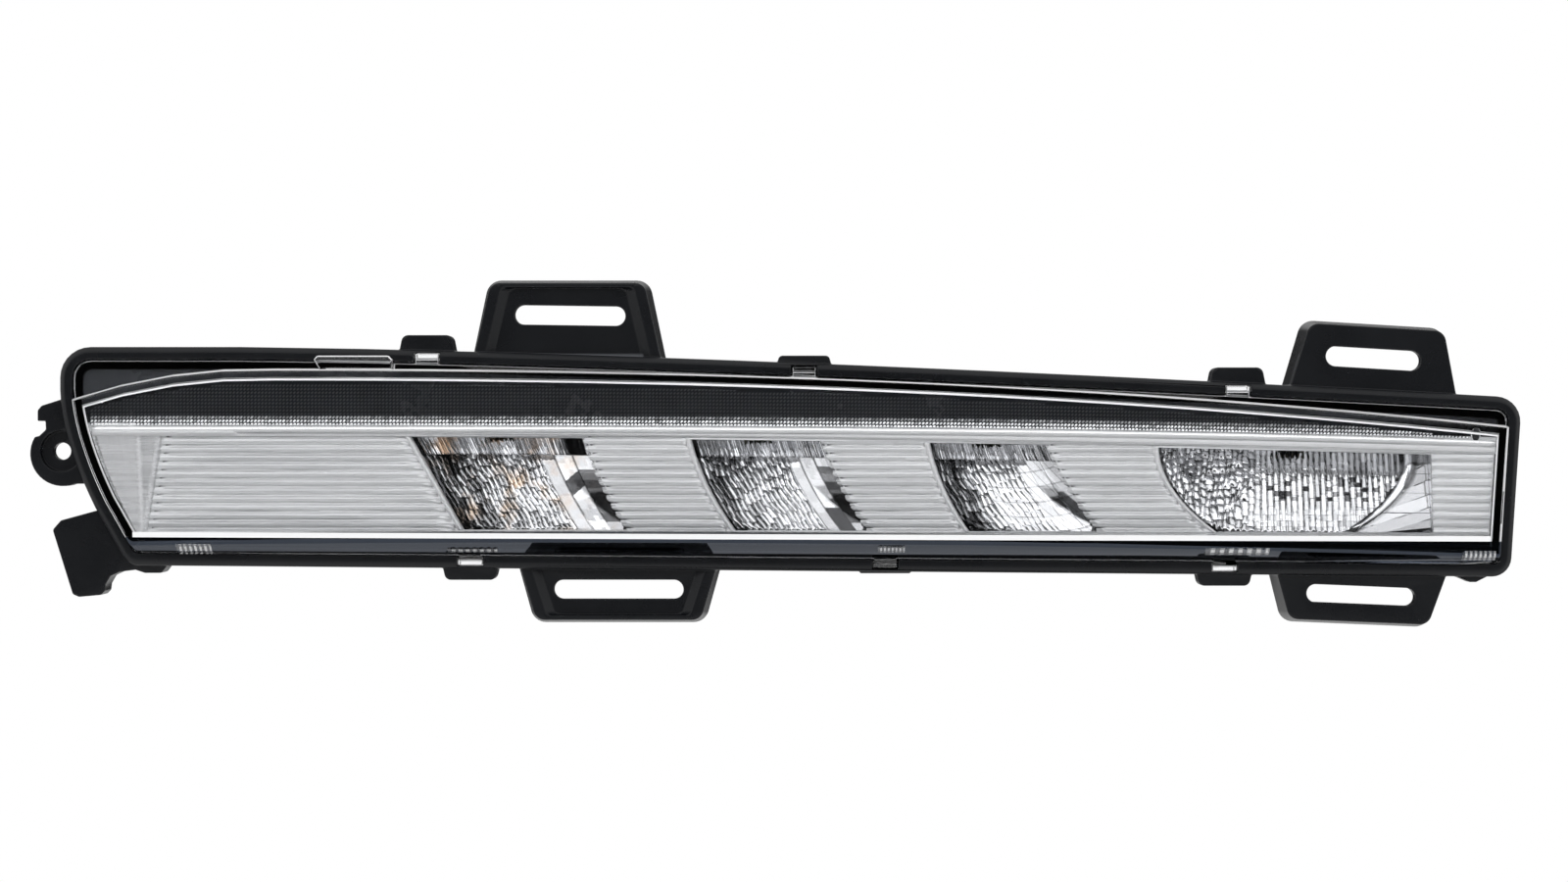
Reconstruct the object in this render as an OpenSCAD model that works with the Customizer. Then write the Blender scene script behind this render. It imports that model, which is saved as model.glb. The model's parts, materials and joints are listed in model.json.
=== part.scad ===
// Daytime running light: a long front lamp with four reflector pockets.
// The front faces -Y, +X runs along the lamp and +Z is up, in millimetres.
// The origin is the middle of the screw eye, on the seat of its screw head.

/* [Rim] */
// Place of the left end of the rim from the screw eye
rim_start = 0.2; // [-1:0.1:1]
// Length of the rim from end to end
rim_length = 371.4; // [366:0.2:376]
// Height of the top edge above the screw eye, at the left
rim_top = 26.5; // [26:0.1:28]
// Depth of the bottom edge below the screw eye, at the left
rim_bottom = 29; // [28:0.1:30]
// Fall of the top edge from left to right
top_fall = 12.9; // [12:0.1:13.5]
// Level length of the top edge before it starts to fall
top_level = 46; // [40:1:60]
// Fall of the bottom edge from left to right
bottom_fall = 2.9; // [2:0.1:4]
// How far the left end leans inwards at its foot
left_lean = 17.3; // [16:0.1:18]
// How far the left end runs straight down before it leans
left_straight = 11; // [9:0.5:13]
// How far the right end leans inwards at its foot
right_lean = 3; // [2:0.1:3.6]
// Width of the rim seen from the front
rim_w = 3.2; // [2.8:0.1:3.6]
// Rounding of the top left corner
corner_top_left = 7.8; // [6:0.1:9]
// Rounding of the top right corner
corner_top_right = 6.4; // [5:0.1:7.5]
// Rounding of the bottom right corner
corner_bottom_right = 5; // [4:0.1:6]
// Rounding of the bottom left corner
corner_bottom_left = 5; // [4:0.1:6]
// How far the rim stands in front of the screw seat
rim_proud = 6; // [5.6:0.1:7]
// How far the rim reaches behind the screw seat
rim_back = 4; // [3:0.1:5]
// Rounding of the front edge of the rim
rim_round = 1.2; // [0.8:0.1:1.4]

/* [Rear shell] */
// Thickness of the shell walls
shell_wall = 2.2; // [2:0.1:2.6]
// Depth of the shell behind the screw seat
shell_depth = 32; // [31:0.5:34]
// Length of the slope at the left end of the shell
left_slope = 52; // [48:1:56]
// Length of the slope at the right end of the shell
right_slope = 32; // [30:1:36]
// Depth of the shell at its two ends
end_depth = 12; // [10:0.5:14]
// Thickness of the ledge under the lens
deck_t = 2.5; // [2:0.1:3]
// How far the ledge lies in front of the screw seat
deck_proud = 2; // [1.6:0.1:2.4]
// Width of the ledge under the bezel skirt
ledge_w = 1.6; // [1.4:0.1:2]
// Thickness of the stiffening ribs on the back
rib_t = 1.6; // [1.2:0.1:2]
// Height of the stiffening ribs on the back
rib_h = 3; // [2:0.1:4]

/* [Screw eye] */
// Radius of the screw hole
eye_r = 2.2; // [2.1:0.05:2.6]
// Radius of the sunk seat of the screw head
eye_seat_r = 5.2; // [4.8:0.1:5.6]
// Depth of the sunk seat
eye_seat_depth = 2; // [1.5:0.1:2.5]
// Radius of the eye outside
eye_outer_r = 8.3; // [8:0.1:9]
// Thickness of the eye under the screw head
eye_t = 4; // [3.5:0.1:5]

/* [Slotted tabs] */
// Thickness of the plate around each slot
tab_plate = 4.5; // [4:0.1:5]
// Depth of the tabs from front to back
tab_depth = 11; // [10:0.5:12]
// How far the tab faces lie in front of the screw seat
tab_proud = 3.5; // [3:0.1:4]
// Rounding of the tab corners
tab_corner = 4; // [3:0.1:4.5]
// How much wider each side of a tab is at its back
tab_draft = 1; // [0.6:0.1:1.2]
// Wall left around the hollow behind each tab
tab_wall = 2.2; // [2:0.1:2.4]
// Depth of the sunk faces of the two left tabs
tab_sink = 1.6; // [1:0.1:2]
// Place of the top left tab
tab_1_x = 129; // [125:0.5:133]
// Width of the top left tab at its tip
tab_1_w = 41; // [40:0.5:44]
// Reach of the top left tab above the screw eye
tab_1_z = 43.8; // [42:0.1:45]
// Overall length of its slot
slot_1_l = 28.2; // [26:0.1:29]
// Height of its slot
slot_1_h = 5; // [4.5:0.1:5.4]
// Height of its slot above the screw eye
slot_1_z = 34.6; // [34:0.1:35.4]
// Place of the bottom left tab
tab_2_x = 142; // [139:0.5:145]
// Width of the bottom left tab at its tip
tab_2_w = 43.6; // [43:0.2:46]
// Reach of the bottom left tab below the screw eye
tab_2_z = 43.9; // [43:0.1:45]
// Overall length of its slot
slot_2_l = 33; // [31:0.1:33.6]
// Height of its slot
slot_2_h = 4.9; // [4.5:0.1:5.2]
// Depth of its slot below the screw eye
slot_2_z = 35.2; // [35:0.1:36]
// Place of the top right tab, from the right end of the rim
tab_3_x = 37.6; // [35.6:0.1:41.6]
// Width of the top right tab at its tip
tab_3_w = 36; // [35:0.5:38]
// Reach of the top right tab above the screw eye
tab_3_z = 32.6; // [32:0.1:34]
// Overall length of its slot
slot_3_l = 24.2; // [22:0.1:25]
// Height of its slot
slot_3_h = 5.1; // [4.5:0.1:5.4]
// Height of its slot above the screw eye
slot_3_z = 23.6; // [23.2:0.1:24.2]
// Tilt of the top right tab
tab_3_tilt = 3.4; // [2:0.1:4]
// Place of the bottom right tab, from the right end of the rim
tab_4_x = 40.8; // [37.6:0.1:43.6]
// Width of the bottom right tab at its tip
tab_4_w = 37; // [36:0.5:40]
// Reach of the bottom right tab below the screw eye
tab_4_z = 44.4; // [44:0.1:45.4]
// Overall length of its slot
slot_4_l = 27.6; // [25:0.1:28.4]
// Height of its slot
slot_4_h = 4.6; // [4.4:0.1:5]
// Depth of its slot below the screw eye
slot_4_z = 36.6; // [36.2:0.1:37.2]
// Tilt of the bottom right tab
tab_4_tilt = 2.4; // [1:0.1:3]

/* [Clip loops] */
// Width of a clip loop at its foot
clip_w = 15; // [13:0.5:16]
// Width of a clip loop at its top
clip_top_w = 12.6; // [12:0.2:13.4]
// How far the tall loops stand out of the top edge
clip_h = 3.9; // [3.5:0.1:4.4]
// How far the tall loops stand out of the bottom edge
clip_bottom_h = 2.9; // [2.5:0.1:3.4]
// How far the low loop over the middle stands out of the rim
clip_low_h = 1.9; // [1.6:0.1:2.6]
// Radius of the corners of a loop
clip_corner = 1.8; // [1:0.1:2]
// Width of the window in a loop
clip_window_w = 6.6; // [6:0.1:7]
// Height of the window in a loop
clip_window_h = 1.9; // [1.8:0.1:2.2]
// Place of the left loop on the top edge
clip_top_1_x = 93.4; // [90:0.2:96]
// Place of the middle loop on the top edge
clip_top_2_x = 189.2; // [186:0.2:192]
// Place of the right loop on the top edge, from the right end of the rim
clip_top_3_x = 72.2; // [70.6:0.1:74.6]
// Place of the left loop on the bottom edge
clip_bottom_1_x = 104.4; // [102:0.2:106]
// Place of the middle loop on the bottom edge
clip_bottom_2_x = 209.8; // [206:0.2:213]
// Place of the right loop on the bottom edge, from the right end of the rim
clip_bottom_3_x = 75.6; // [73.6:0.1:77.6]

/* [Lens] */
// Wall of the clear lens
lens_wall = 2.2; // [2:0.1:2.4]
// How far the lens stands in front of the screw seat, at its middle
lens_proud = 14; // [13.4:0.1:16]
// Radius of the gentle crown of the lens, seen from above
lens_crown_r = 4000; // [3600:50:6000]
// Height of the raised face above the screw eye, where it is highest
face_top = 20.7; // [20.2:0.1:21]
// Place of the highest part of the raised face
face_peak_x = 50; // [46:1:54]
// Fall of the raised face from its peak to the left end
face_fall_left = 8.8; // [8:0.1:10]
// Fall of the raised face from its peak to the right end
face_fall_right = 14.9; // [14.4:0.1:15.4]
// Height of the slope along the foot of the raised face
face_foot = 3.9; // [3.4:0.1:4.4]
// Depth of that slope
face_foot_depth = 7; // [6:0.1:7.6]
// Thickness of the lens flange
flange_t = 2.2; // [2:0.1:2.4]
// Place of the left end of the raised pad on the top of the lens
lens_pad_x = 65; // [62:0.5:68]
// Length of that pad
lens_pad_l = 20; // [18:0.5:22]
// How far the pad reaches above the raised face
lens_pad_h = 3.6; // [3:0.1:4]

/* [Bezel] */
// Thickness of the bezel plate
bezel_t = 1.8; // [1.5:0.1:2]
// Height of the bezel above the screw eye, at the left
bezel_top = 7.2; // [7:0.1:7.5]
// Fall of the top of the bezel from left to right
bezel_top_fall = 3.9; // [3.6:0.1:4.2]
// Height of the ribbed window above the screw eye, at the left
window_top = 4.6; // [4.4:0.1:4.8]
// Fall of the top of the window from left to right
window_top_fall = 5.5; // [5.2:0.1:5.8]
// Depth of the foot of the window below the screw eye, at the left
window_bottom = 20.3; // [20:0.1:20.6]
// Fall of the foot of the window from left to right
window_bottom_fall = 1.2; // [1:0.1:1.5]
// Height of the smooth lip under the window
lip_h = 1.2; // [1:0.1:1.4]
// How far the smooth bands stand in front of the plate
band_t = 1; // [0.8:0.1:1.2]
// Spacing of the level ribs
rib_pitch = 2.1; // [1.8:0.1:2.4]
// Height of the level ribs
rib_rise = 0.5; // [0.3:0.05:0.7]
// Place where the ribs start, at the top
ribs_start_top = 26.9; // [25:0.1:28]
// Place where the ribs start, at the foot
ribs_start_bottom = 22.7; // [22:0.1:24]

/* [Pockets] */
// Left edge of pocket 1 at its top
pocket_1_x = 89.1; // [87:0.1:91]
// Width of pocket 1 at its top
pocket_1_w = 44.8; // [43:0.1:46]
// Lean of the left edge of pocket 1
pocket_1_lean_left = 13.4; // [12:0.1:15]
// Lean of the right edge of pocket 1
pocket_1_lean_right = 11.7; // [10:0.1:13]
// Left edge of pocket 2 at its top
pocket_2_x = 160.2; // [158:0.1:162]
// Width of pocket 2 at its top
pocket_2_w = 33.9; // [32:0.1:35]
// Lean of the left edge of pocket 2
pocket_2_lean_left = 11.3; // [10:0.1:13]
// Lean of the right edge of pocket 2
pocket_2_lean_right = 12.7; // [11:0.1:14]
// Left edge of pocket 3 at its top
pocket_3_x = 220.8; // [219:0.1:222]
// Width of pocket 3 at its top
pocket_3_w = 30.3; // [29:0.1:32]
// Lean of the left edge of pocket 3
pocket_3_lean_left = 10; // [9:0.1:12]
// Lean of the right edge of pocket 3
pocket_3_lean_right = 14.3; // [12:0.1:15]
// Left edge of pocket 4 at its top
pocket_4_x = 278.9; // [277:0.1:280]
// Width of pocket 4 at its top
pocket_4_w = 69.4; // [68:0.1:70]
// Lean of the left edge of pocket 4
pocket_4_lean_left = 14.7; // [13:0.1:16]
// Lean of the right edge of pocket 4
pocket_4_lean_right = 0.5; // [0:0.1:1]
// Bow of the slanting edges of pockets 1 to 3
pocket_bow = 1.4; // [0.8:0.1:2]
// Bow of the left edge of pocket 4
end_bow = 3.6; // [3:0.1:4]
// Wall of the reflectors
bowl_wall = 1.5; // [1.2:0.1:1.8]
// Depth of the reflector bowls behind the bezel
bowl_depth = 19; // [16:0.5:20]

/* [Light board] */
// Length of the light board
board_l = 242; // [240:1:244]
// Width of the light board
board_w = 17; // [16:0.5:18]
// Thickness of the circuit boards
board_t = 1.6; // [1.2:0.1:2]
// Place of the left end of the light board
board_x = 78; // [76:0.5:80]
// Height of the light board above the screw eye, at its left end
board_z = 7.3; // [7.1:0.1:7.4]
// Tilt of the light board along the lamp
board_tilt = 0.93; // [0.9:0.01:1]
// Width of a light emitter
led_w = 5; // [4:0.1:5.6]
// Height of a light emitter
led_h = 0.9; // [0.7:0.05:1]

/* [Heat sink] */
// Length of the heat sink
sink_l = 176; // [170:1:180]
// Height of the heat sink base
sink_h = 17; // [16.4:0.1:18]
// Thickness of the base and the shelf
sink_t = 2.4; // [2:0.1:2.5]
// Height of the fins
fin_h = 9; // [7:0.5:12]
// Thickness of a fin
fin_t = 1.4; // [1:0.1:2]
// Spacing of the fins
fin_pitch = 5.5; // [5:0.5:8]
// Thickness of the gasket under the base
gasket_t = 1; // [0.8:0.1:1.4]

/* [Driver and connector] */
// Length of the driver board
driver_l = 78; // [70:1:84]
// Height of the driver board
driver_h = 11; // [10:0.5:11.5]
// Place of the left end of the driver board
driver_x = 122; // [118:1:128]
// Height of the posts that carry the driver board
driver_post = 3; // [2.5:0.1:4]
// Width of the connector socket outside
socket_w = 21; // [19:0.5:22]
// Height of the connector socket outside
socket_h = 12.4; // [11:0.2:13]
// Wall of the connector socket
socket_wall = 1.6; // [1.4:0.1:1.8]
// Length of the connector socket behind the shell
socket_l = 17; // [14:0.5:19]
// Place of the connector socket, from the right end of the rim
socket_x = 55.6; // [53.6:0.1:57.6]
// Radius of the breather cap
cap_r = 5.5; // [5:0.1:6.5]
// Length of the breather cap
cap_l = 7; // [6:0.5:9]

/* [Screws and fits] */
// Radius of the screw shanks
screw_r = 1.5; // [1.3:0.1:1.7]
// Radius of the screw heads
screw_head_r = 2.7; // [2.5:0.1:2.9]
// Height of the screw heads
screw_head_h = 1.8; // [1.5:0.1:2.2]
// Running clearance around a shank
screw_gap = 0.2; // [0.15:0.05:0.3]
// Space between pieces that sit side by side
side_gap = 0.4; // [0.3:0.05:0.5]
// Space around the lens hooks in their windows
hook_gap = 0.3; // [0.25:0.05:0.4]

/* [Hidden] */
$fn = 32;

rim_end = rim_start + rim_length;
mid_x = rim_start + rim_length / 2;
tab_3_at = rim_end - tab_3_x;
tab_4_at = rim_end - tab_4_x;
socket_at = rim_end - socket_x;
far = 100;
arc_steps = 7;
curve_steps = 10;
cut = 0.02;

// Depths of the layers, from the front to the back
rim_front_y = -rim_proud;
deck_y = -deck_proud;
seal_t = 1;
flange_back_y = deck_y - seal_t;
flange_front_y = flange_back_y - flange_t;
bezel_back_y = flange_back_y - 0.2;
bezel_front_y = bezel_back_y - bezel_t;
shelf_front_y = -0.5;
plate_in_y = shell_depth - shell_wall;
sink_base_y = shell_depth + gasket_t;
bowl_back_y = bezel_back_y + bowl_depth;
eye_front_y = -eye_seat_depth;

// Points along the lamp at which the long curves are drawn
function steps(a, b, n) = [for (i = [0 : n]) a + (b - a) * i / n];

// Height of the top edge of the rim at a place along the lamp
function rim_top_z(x) =
    rim_top - top_fall * pow(max(0, x - top_level) / (rim_end - top_level), 1.4);

// Height of the bottom edge of the rim
function rim_bottom_z(x) = -rim_bottom - bottom_fall * (x - rim_start) / rim_length;

// Place of the left end of the rim at a height
left_top_z = rim_top - left_straight;
function rim_left_x(z) =
    rim_start + left_lean * pow(max(0, left_top_z - z) / (left_top_z + rim_bottom), 1.65);

// Height of the top of the raised lens face
function face_top_z(x) = x < face_peak_x
    ? face_top - face_fall_left * pow((face_peak_x - x) / (face_peak_x - rim_start), 2)
    : face_top - face_fall_right * pow((x - face_peak_x) / (rim_end - face_peak_x), 2.3);

// Share of the way along the bezel, from its left end to its right end
function along(x) = max(0, x - rim_start) / rim_length;
function bezel_top_z(x) = bezel_top - bezel_top_fall * pow(along(x), 3.5);
function window_top_z(x) = window_top - window_top_fall * pow(along(x), 2.2);
function window_bottom_z(x) = -window_bottom - window_bottom_fall * along(x);

// Arc that rounds the corner b between a and c
function unit(v) = v / norm(v);
function swing(a) = a > 180 ? a - 360 : a < -180 ? a + 360 : a;
function corner(a, b, c, r) =
    let (u = unit(a - b), v = unit(c - b), half = acos(u * v) / 2,
        hub = b + unit(u + v) * r / sin(half),
        p = b + u * r / tan(half) - hub, q = b + v * r / tan(half) - hub,
        from = atan2(p[1], p[0]), turn = swing(atan2(q[1], q[0]) - from))
    [for (i = [0 : arc_steps]) hub + r * [cos(from + turn * i / arc_steps),
        sin(from + turn * i / arc_steps)]];

rim_path = concat(
    corner([rim_start, 0], [rim_start, rim_top], [top_level, rim_top], corner_top_left),
    [for (x = steps(top_level, rim_end - 2 * corner_top_right, curve_steps)) [x, rim_top_z(x)]],
    corner([rim_end - 2 * corner_top_right, rim_top_z(rim_end - 2 * corner_top_right)],
        [rim_end, rim_top_z(rim_end)], [rim_end - right_lean, rim_bottom_z(rim_end)],
        corner_top_right),
    corner([rim_end, rim_top_z(rim_end)], [rim_end - right_lean, rim_bottom_z(rim_end)],
        [mid_x, rim_bottom_z(mid_x)], corner_bottom_right),
    corner([mid_x, rim_bottom_z(mid_x)], [rim_left_x(-rim_bottom), rim_bottom_z(rim_start)],
        [rim_left_x(-rim_bottom / 2), -rim_bottom / 2], corner_bottom_left),
    [for (z = steps(-rim_bottom / 2, left_top_z, curve_steps)) [rim_left_x(z), z]]);

// Draws a front view outline as a slab between two depths
module slab(front_y, back_y) {
    translate([0, back_y, 0])
        rotate([90, 0, 0])
            linear_extrude(back_y - front_y) children();
}

// Draws a side view outline, in Y and Z, along the whole lamp
module along_lamp() {
    translate([-far, 0, 0])
        rotate([90, 0, 90])
            linear_extrude(rim_end + 2 * far) children();
}

// Straight round bar from the front to the back
module bar(x, z, front_y, back_y, r) {
    translate([x, back_y, z])
        rotate([90, 0, 0])
            cylinder(h = back_y - front_y, r = r);
}

module box(low, high) {
    translate(low) cube(high - low);
}

module rim_outline(inset = 0) {
    offset(delta = -inset) polygon(rim_path);
}

// Everything below a long curve, as a front view outline
module below(points) {
    polygon(concat([[rim_end + far, -far], [-far, -far]], points));
}

curve_x = steps(-far / 10, rim_end + far / 10, 3 * curve_steps);

module below_face() {
    below([for (x = curve_x) [x, face_top_z(x)]]);
}

module below_bezel(up = 0) {
    below([for (x = curve_x) [x, bezel_top_z(x) + up]]);
}

module below_window_top(down = 0) {
    below([for (x = curve_x) [x, window_top_z(x) - down]]);
}

module below_window_bottom(down = 0) {
    below([for (x = curve_x) [x, window_bottom_z(x) - down]]);
}

// Outline of the raised lens face, set in by a distance
module face_outline(inset = 0) {
    offset(delta = -inset)
        intersection() {
            rim_outline(rim_w + side_gap);
            below_face();
        }
}

cover_inset = lens_wall + side_gap;
cavity_inset = cover_inset + ledge_w;

// Depth of the shell along the lamp, as a plan view set in by a distance
module shell_plan(inset = 0) {
    translate([0, 0, -far])
        linear_extrude(2 * far)
            offset(delta = -inset)
                polygon([[rim_start - far, -far], [rim_start - far, end_depth],
                    [rim_start, end_depth], [rim_start + left_slope, shell_depth],
                    [rim_end - right_slope, shell_depth], [rim_end, end_depth],
                    [rim_end + far, end_depth], [rim_end + far, -far]]);
}

module shell_block(inset) {
    intersection() {
        slab(deck_y, shell_depth) face_outline(cavity_inset - shell_wall + inset);
        shell_plan(inset);
    }
}

// The slot of the first tab is a little off its middle and tilted
slot_1_shift = 0.6;
slot_1_tilt = 0.8;

// Front view of a tab that rises from its foot by a length, grown all round
tab_flare = 4.6;
skin = 0.2;
module tab_shape(w, rise, grow) {
    tip = rise + grow;
    tip_w = w / 2 + grow;
    foot_w = w / 2 + tab_flare + grow;
    polygon(concat([[foot_w, -foot_sink]],
        corner([foot_w, 0], [tip_w, tip], [0, tip], tab_corner + grow),
        corner([0, tip], [-tip_w, tip], [-foot_w, 0], tab_corner + grow),
        [[-foot_w, -foot_sink]]));
}

// Sunk front face of a left tab, with sloping sides
sink_side = 5;
sink_slope = 2.4;
module tab_face_cut(w, rise, sunk) {
    hull() {
        slab(-tab_proud - 1, -tab_proud) tab_shape(w - sink_side + sink_slope, rise, -tab_wall);
        slab(sunk - tab_proud - skin, sunk - tab_proud)
            tab_shape(w - sink_side - sink_slope, rise, -tab_wall);
    }
}

module slot_cut(x, z, l, h, tilt) {
    reach = (l - h) / 2;
    translate([x, 0, z])
        rotate([0, tilt, 0]) {
            bar(-reach, 0, -far, far, h / 2);
            bar(reach, 0, -far, far, h / 2);
            box([-reach, -far, -h / 2], [reach, far, h / 2]);
        }
}

clip_front_y = -4;
top_clips = [clip_top_1_x, clip_top_2_x, rim_end - clip_top_3_x];
bottom_clips = [clip_bottom_1_x, clip_bottom_2_x, rim_end - clip_bottom_3_x];
top_clip_h = [clip_h, clip_low_h, clip_h];
clip_flush_h = 0.4;
bottom_clip_h = [clip_bottom_h, clip_flush_h, clip_bottom_h];

// Clip loops, windows and hooks are drawn upwards from the edge of the rim
module at_clips() {
    for (i = [0 : 2]) {
        $clip_rise = top_clip_h[i];
        $clip_open = i != 1;
        translate([top_clips[i], 0, rim_top_z(top_clips[i])]) children();
    }
    for (i = [0 : 2]) {
        $clip_rise = bottom_clip_h[i];
        $clip_open = i != 1;
        translate([bottom_clips[i], 0, rim_bottom_z(bottom_clips[i])])
            mirror([0, 0, 1]) children();
    }
}

module clip_loops() {
    at_clips()
        slab(clip_front_y, rim_back)
            offset(r = min(clip_corner, $clip_rise / 2 + 0.2))
                offset(delta = -min(clip_corner, $clip_rise / 2 + 0.2))
                    polygon([[-clip_w / 2, 1 - rim_w], [-clip_top_w / 2, $clip_rise],
                        [clip_top_w / 2, $clip_rise], [clip_w / 2, 1 - rim_w]]);
}

// Window in the loop, and the notch that lets the hook arm reach it; the middle ones are blind
window_out = (rim_w - clip_window_h) / 2;
blind_floor = 2;
blind_back_y = rim_back - blind_floor;
arm_front_y = flange_front_y;
arm_back_y = flange_back_y - 0.6;
module clip_windows() {
    at_clips() {
        box([-clip_window_w / 2, -far, -window_out - clip_window_h],
            [clip_window_w / 2, $clip_open ? far : blind_back_y, -window_out]);
        box([-clip_window_w / 2, -far, -rim_w - 1],
            [clip_window_w / 2, arm_back_y + hook_gap, -window_out]);
    }
}

hook_w = clip_window_w - 2 * hook_gap;
hook_t = clip_window_h - 2 * hook_gap;
barb_t = 0.7;
barb_l = 2.4;
module lens_hooks() {
    at_clips() {
        box([-hook_w / 2, arm_front_y, -rim_w - 1.2],
            [hook_w / 2, arm_back_y, -window_out - hook_gap]);
        box([-hook_w / 2, arm_front_y, -window_out - hook_gap - hook_t],
            [hook_w / 2, $clip_open ? rim_back + barb_l : blind_back_y - hook_gap,
                -window_out - hook_gap]);
        if ($clip_open)
            box([-hook_w / 2, rim_back + hook_gap, -window_out - hook_gap - hook_t],
                [hook_w / 2, rim_back + barb_l, -window_out - hook_gap + barb_t]);
    }
}

// Screw eye with the small hook above it
hook_reach = 6;
hook_top = 13.2;
hook_gap_top = 7.7;
hook_gap_bottom = 3.9;
module eye_outline() {
    difference() {
        union() {
            translate([0.4, -0.6]) circle(r = eye_outer_r);
            polygon([[-hook_reach, hook_gap_top - 1], [-hook_reach, hook_top - 2.8],
                [-hook_reach + 1, hook_top - 1.6], [0, hook_top], [hook_reach, hook_top],
                [hook_reach, -eye_outer_r], [0, -eye_outer_r]]);
        }
        polygon([[-2 * hook_reach, hook_gap_top], [-hook_reach + 2, hook_gap_top],
            [-hook_reach + 2.1, hook_gap_bottom + 1.6], [-hook_reach + 0.4, hook_gap_bottom],
            [-2 * hook_reach, hook_gap_bottom - 1.6]]);
    }
}

module screw_eye() {
    difference() {
        slab(eye_front_y, eye_t) eye_outline();
        bar(0, 0, -far, 0, eye_seat_r);
        bar(0, 0, -far, far, eye_r);
    }
}

// Foot tab at the lower left corner
foot_left = 2.1;
foot_reach = 37.1;
foot_front_y = -2.4;
module foot_tab() {
    slab(foot_front_y, foot_front_y + tab_depth)
        difference() {
            offset(r = 0.9) offset(delta = -0.9)
                polygon([[rim_left_x(-15) + 2, -15.2], [rim_left_x(-15), -15], [0, -17.6],
                    [-foot_left, -20], [3, -36.4], [4.6, -foot_reach], [10.2, -foot_reach + 0.5],
                    [11.2, -35.6], [11.4, -33.9], [12.6, -31.8], [15, -30.7], [19, -30.2],
                    [21.4, -31], [25.6, -31], [27.5, -28.6], [22, -27], [13, -20]]);
            rim_outline(rim_w / 2);
        }
}

module corner_boss() {
    slab(clip_front_y + 1, rim_back)
        polygon([[rim_end - 16.4, -30], [rim_end - 16, -32], [rim_end - 13, -33.3],
            [rim_end - 11.4, -33.3], [rim_end - 8.4, -31.8], [rim_end - 8.4, -30]]);
}

// Bores for screws that join bezel, reflectors and housing
lug_front_y = 4;
lug_t = 3;
boss_r = screw_r + 1.5;
pilot_r = screw_r + screw_gap;
// Pockets: left edge, width, lean and bow of the left and right edges
pockets = [
    [pocket_1_x, pocket_1_w, pocket_1_lean_left, pocket_1_lean_right, 0, pocket_bow],
    [pocket_2_x, pocket_2_w, pocket_2_lean_left, pocket_2_lean_right, pocket_bow, pocket_bow],
    [pocket_3_x, pocket_3_w, pocket_3_lean_left, pocket_3_lean_right, pocket_bow, pocket_bow],
    [pocket_4_x, pocket_4_w, pocket_4_lean_left, pocket_4_lean_right, end_bow, 0]];
pocket_margin = 0.7;
function pocket_top(x) = window_top_z(x) - pocket_margin;
function pocket_foot(x) = window_bottom_z(x) + pocket_margin;

// Point of a pocket edge; side 0 is the left edge, 1 the right, and t runs from top to foot
function edge_point(i, side, t) =
    let (p = pockets[i], x = p[0] + side * p[1], lean = p[2 + side], bow = p[4 + side],
        top = pocket_top(x), foot = pocket_foot(x + lean))
    [x + lean * t - bow * 4 * t * (1 - t), top + (foot - top) * t];
function edge_x(i, side, z) =
    let (a = edge_point(i, side, 0), b = edge_point(i, side, 1))
    edge_point(i, side, (a[1] - z) / (a[1] - b[1]))[0];

bezel_screw_left = [22, -5];
bezel_screw_right = [rim_end - 15.3, -17];
function gap_mid(i, z) = (edge_x(i, 1, z) + edge_x(i + 1, 0, z)) / 2;
bezel_screw_low_z = -16.4;
bezel_screw_places = [bezel_screw_left, [gap_mid(0, bezel_screw_low_z), bezel_screw_low_z],
    [gap_mid(2, bezel_screw_low_z), bezel_screw_low_z], bezel_screw_right];

edge_steps = 8;
module pocket_outline(i, grow = 0) {
    offset(delta = grow)
        polygon(concat(
            [for (k = [0 : edge_steps]) edge_point(i, 0, k / edge_steps)],
            [for (k = [edge_steps : -1 : 0]) edge_point(i, 1, k / edge_steps)],
            [for (x = steps(pockets[i][0] + pockets[i][1], pockets[i][0], 4))
                [x, pocket_top(x)]]));
}

// Side view of a bowl: a quarter ellipse from the back of the roof to the foot of the front
module bowl_side(i, grow) {
    x = pockets[i][0] + pockets[i][1] / 2;
    top = pocket_top(x);
    drop = top - pocket_foot(x);
    depth = bowl_depth - bowl_wall;
    polygon(concat([[bezel_back_y - 1, top + 2 * led_w],
            [bezel_back_y - 1, top - drop - grow]],
        [for (a = [90 : -7.5 : 0]) [bezel_back_y + (depth + grow) * cos(a),
            top - (drop + grow) * sin(a)]],
        [[bezel_back_y + depth + grow, top + 2 * led_w]]));
}

module bowl_block(i, front_y, grow, floor) {
    intersection() {
        slab(front_y, bowl_back_y - bowl_wall + floor) pocket_outline(i, grow);
        along_lamp() bowl_side(i, grow);
    }
}

// Lights sit under the board, over the middle of each pocket
led_y = 4.5;
function led_x(i) = pockets[i][0] + pockets[i][1] / 2;
module in_board_frame() {
    translate([board_x, 0, board_z]) rotate([0, board_tilt, 0]) children();
}

module led_notch(i) {
    box([led_x(i) - led_w / 2 - 1, led_y - led_w / 2 - 1, pocket_top(led_x(i)) - 1],
        [led_x(i) + led_w / 2 + 1, led_y + led_w / 2 + 1, far]);
}

// Lugs that carry each reflector on two bosses of the bezel
reflector_lug_z = -8;
reflector_lug_t = 2;
lug_out = 5.4;
function lug_x(i, side) =
    edge_x(i, side, reflector_lug_z) + (side == 0 ? -lug_out : lug_out);
reflector_screw_places =
    [for (i = [0 : 3]) for (side = [0, 1]) [lug_x(i, side), reflector_lug_z]];

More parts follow.
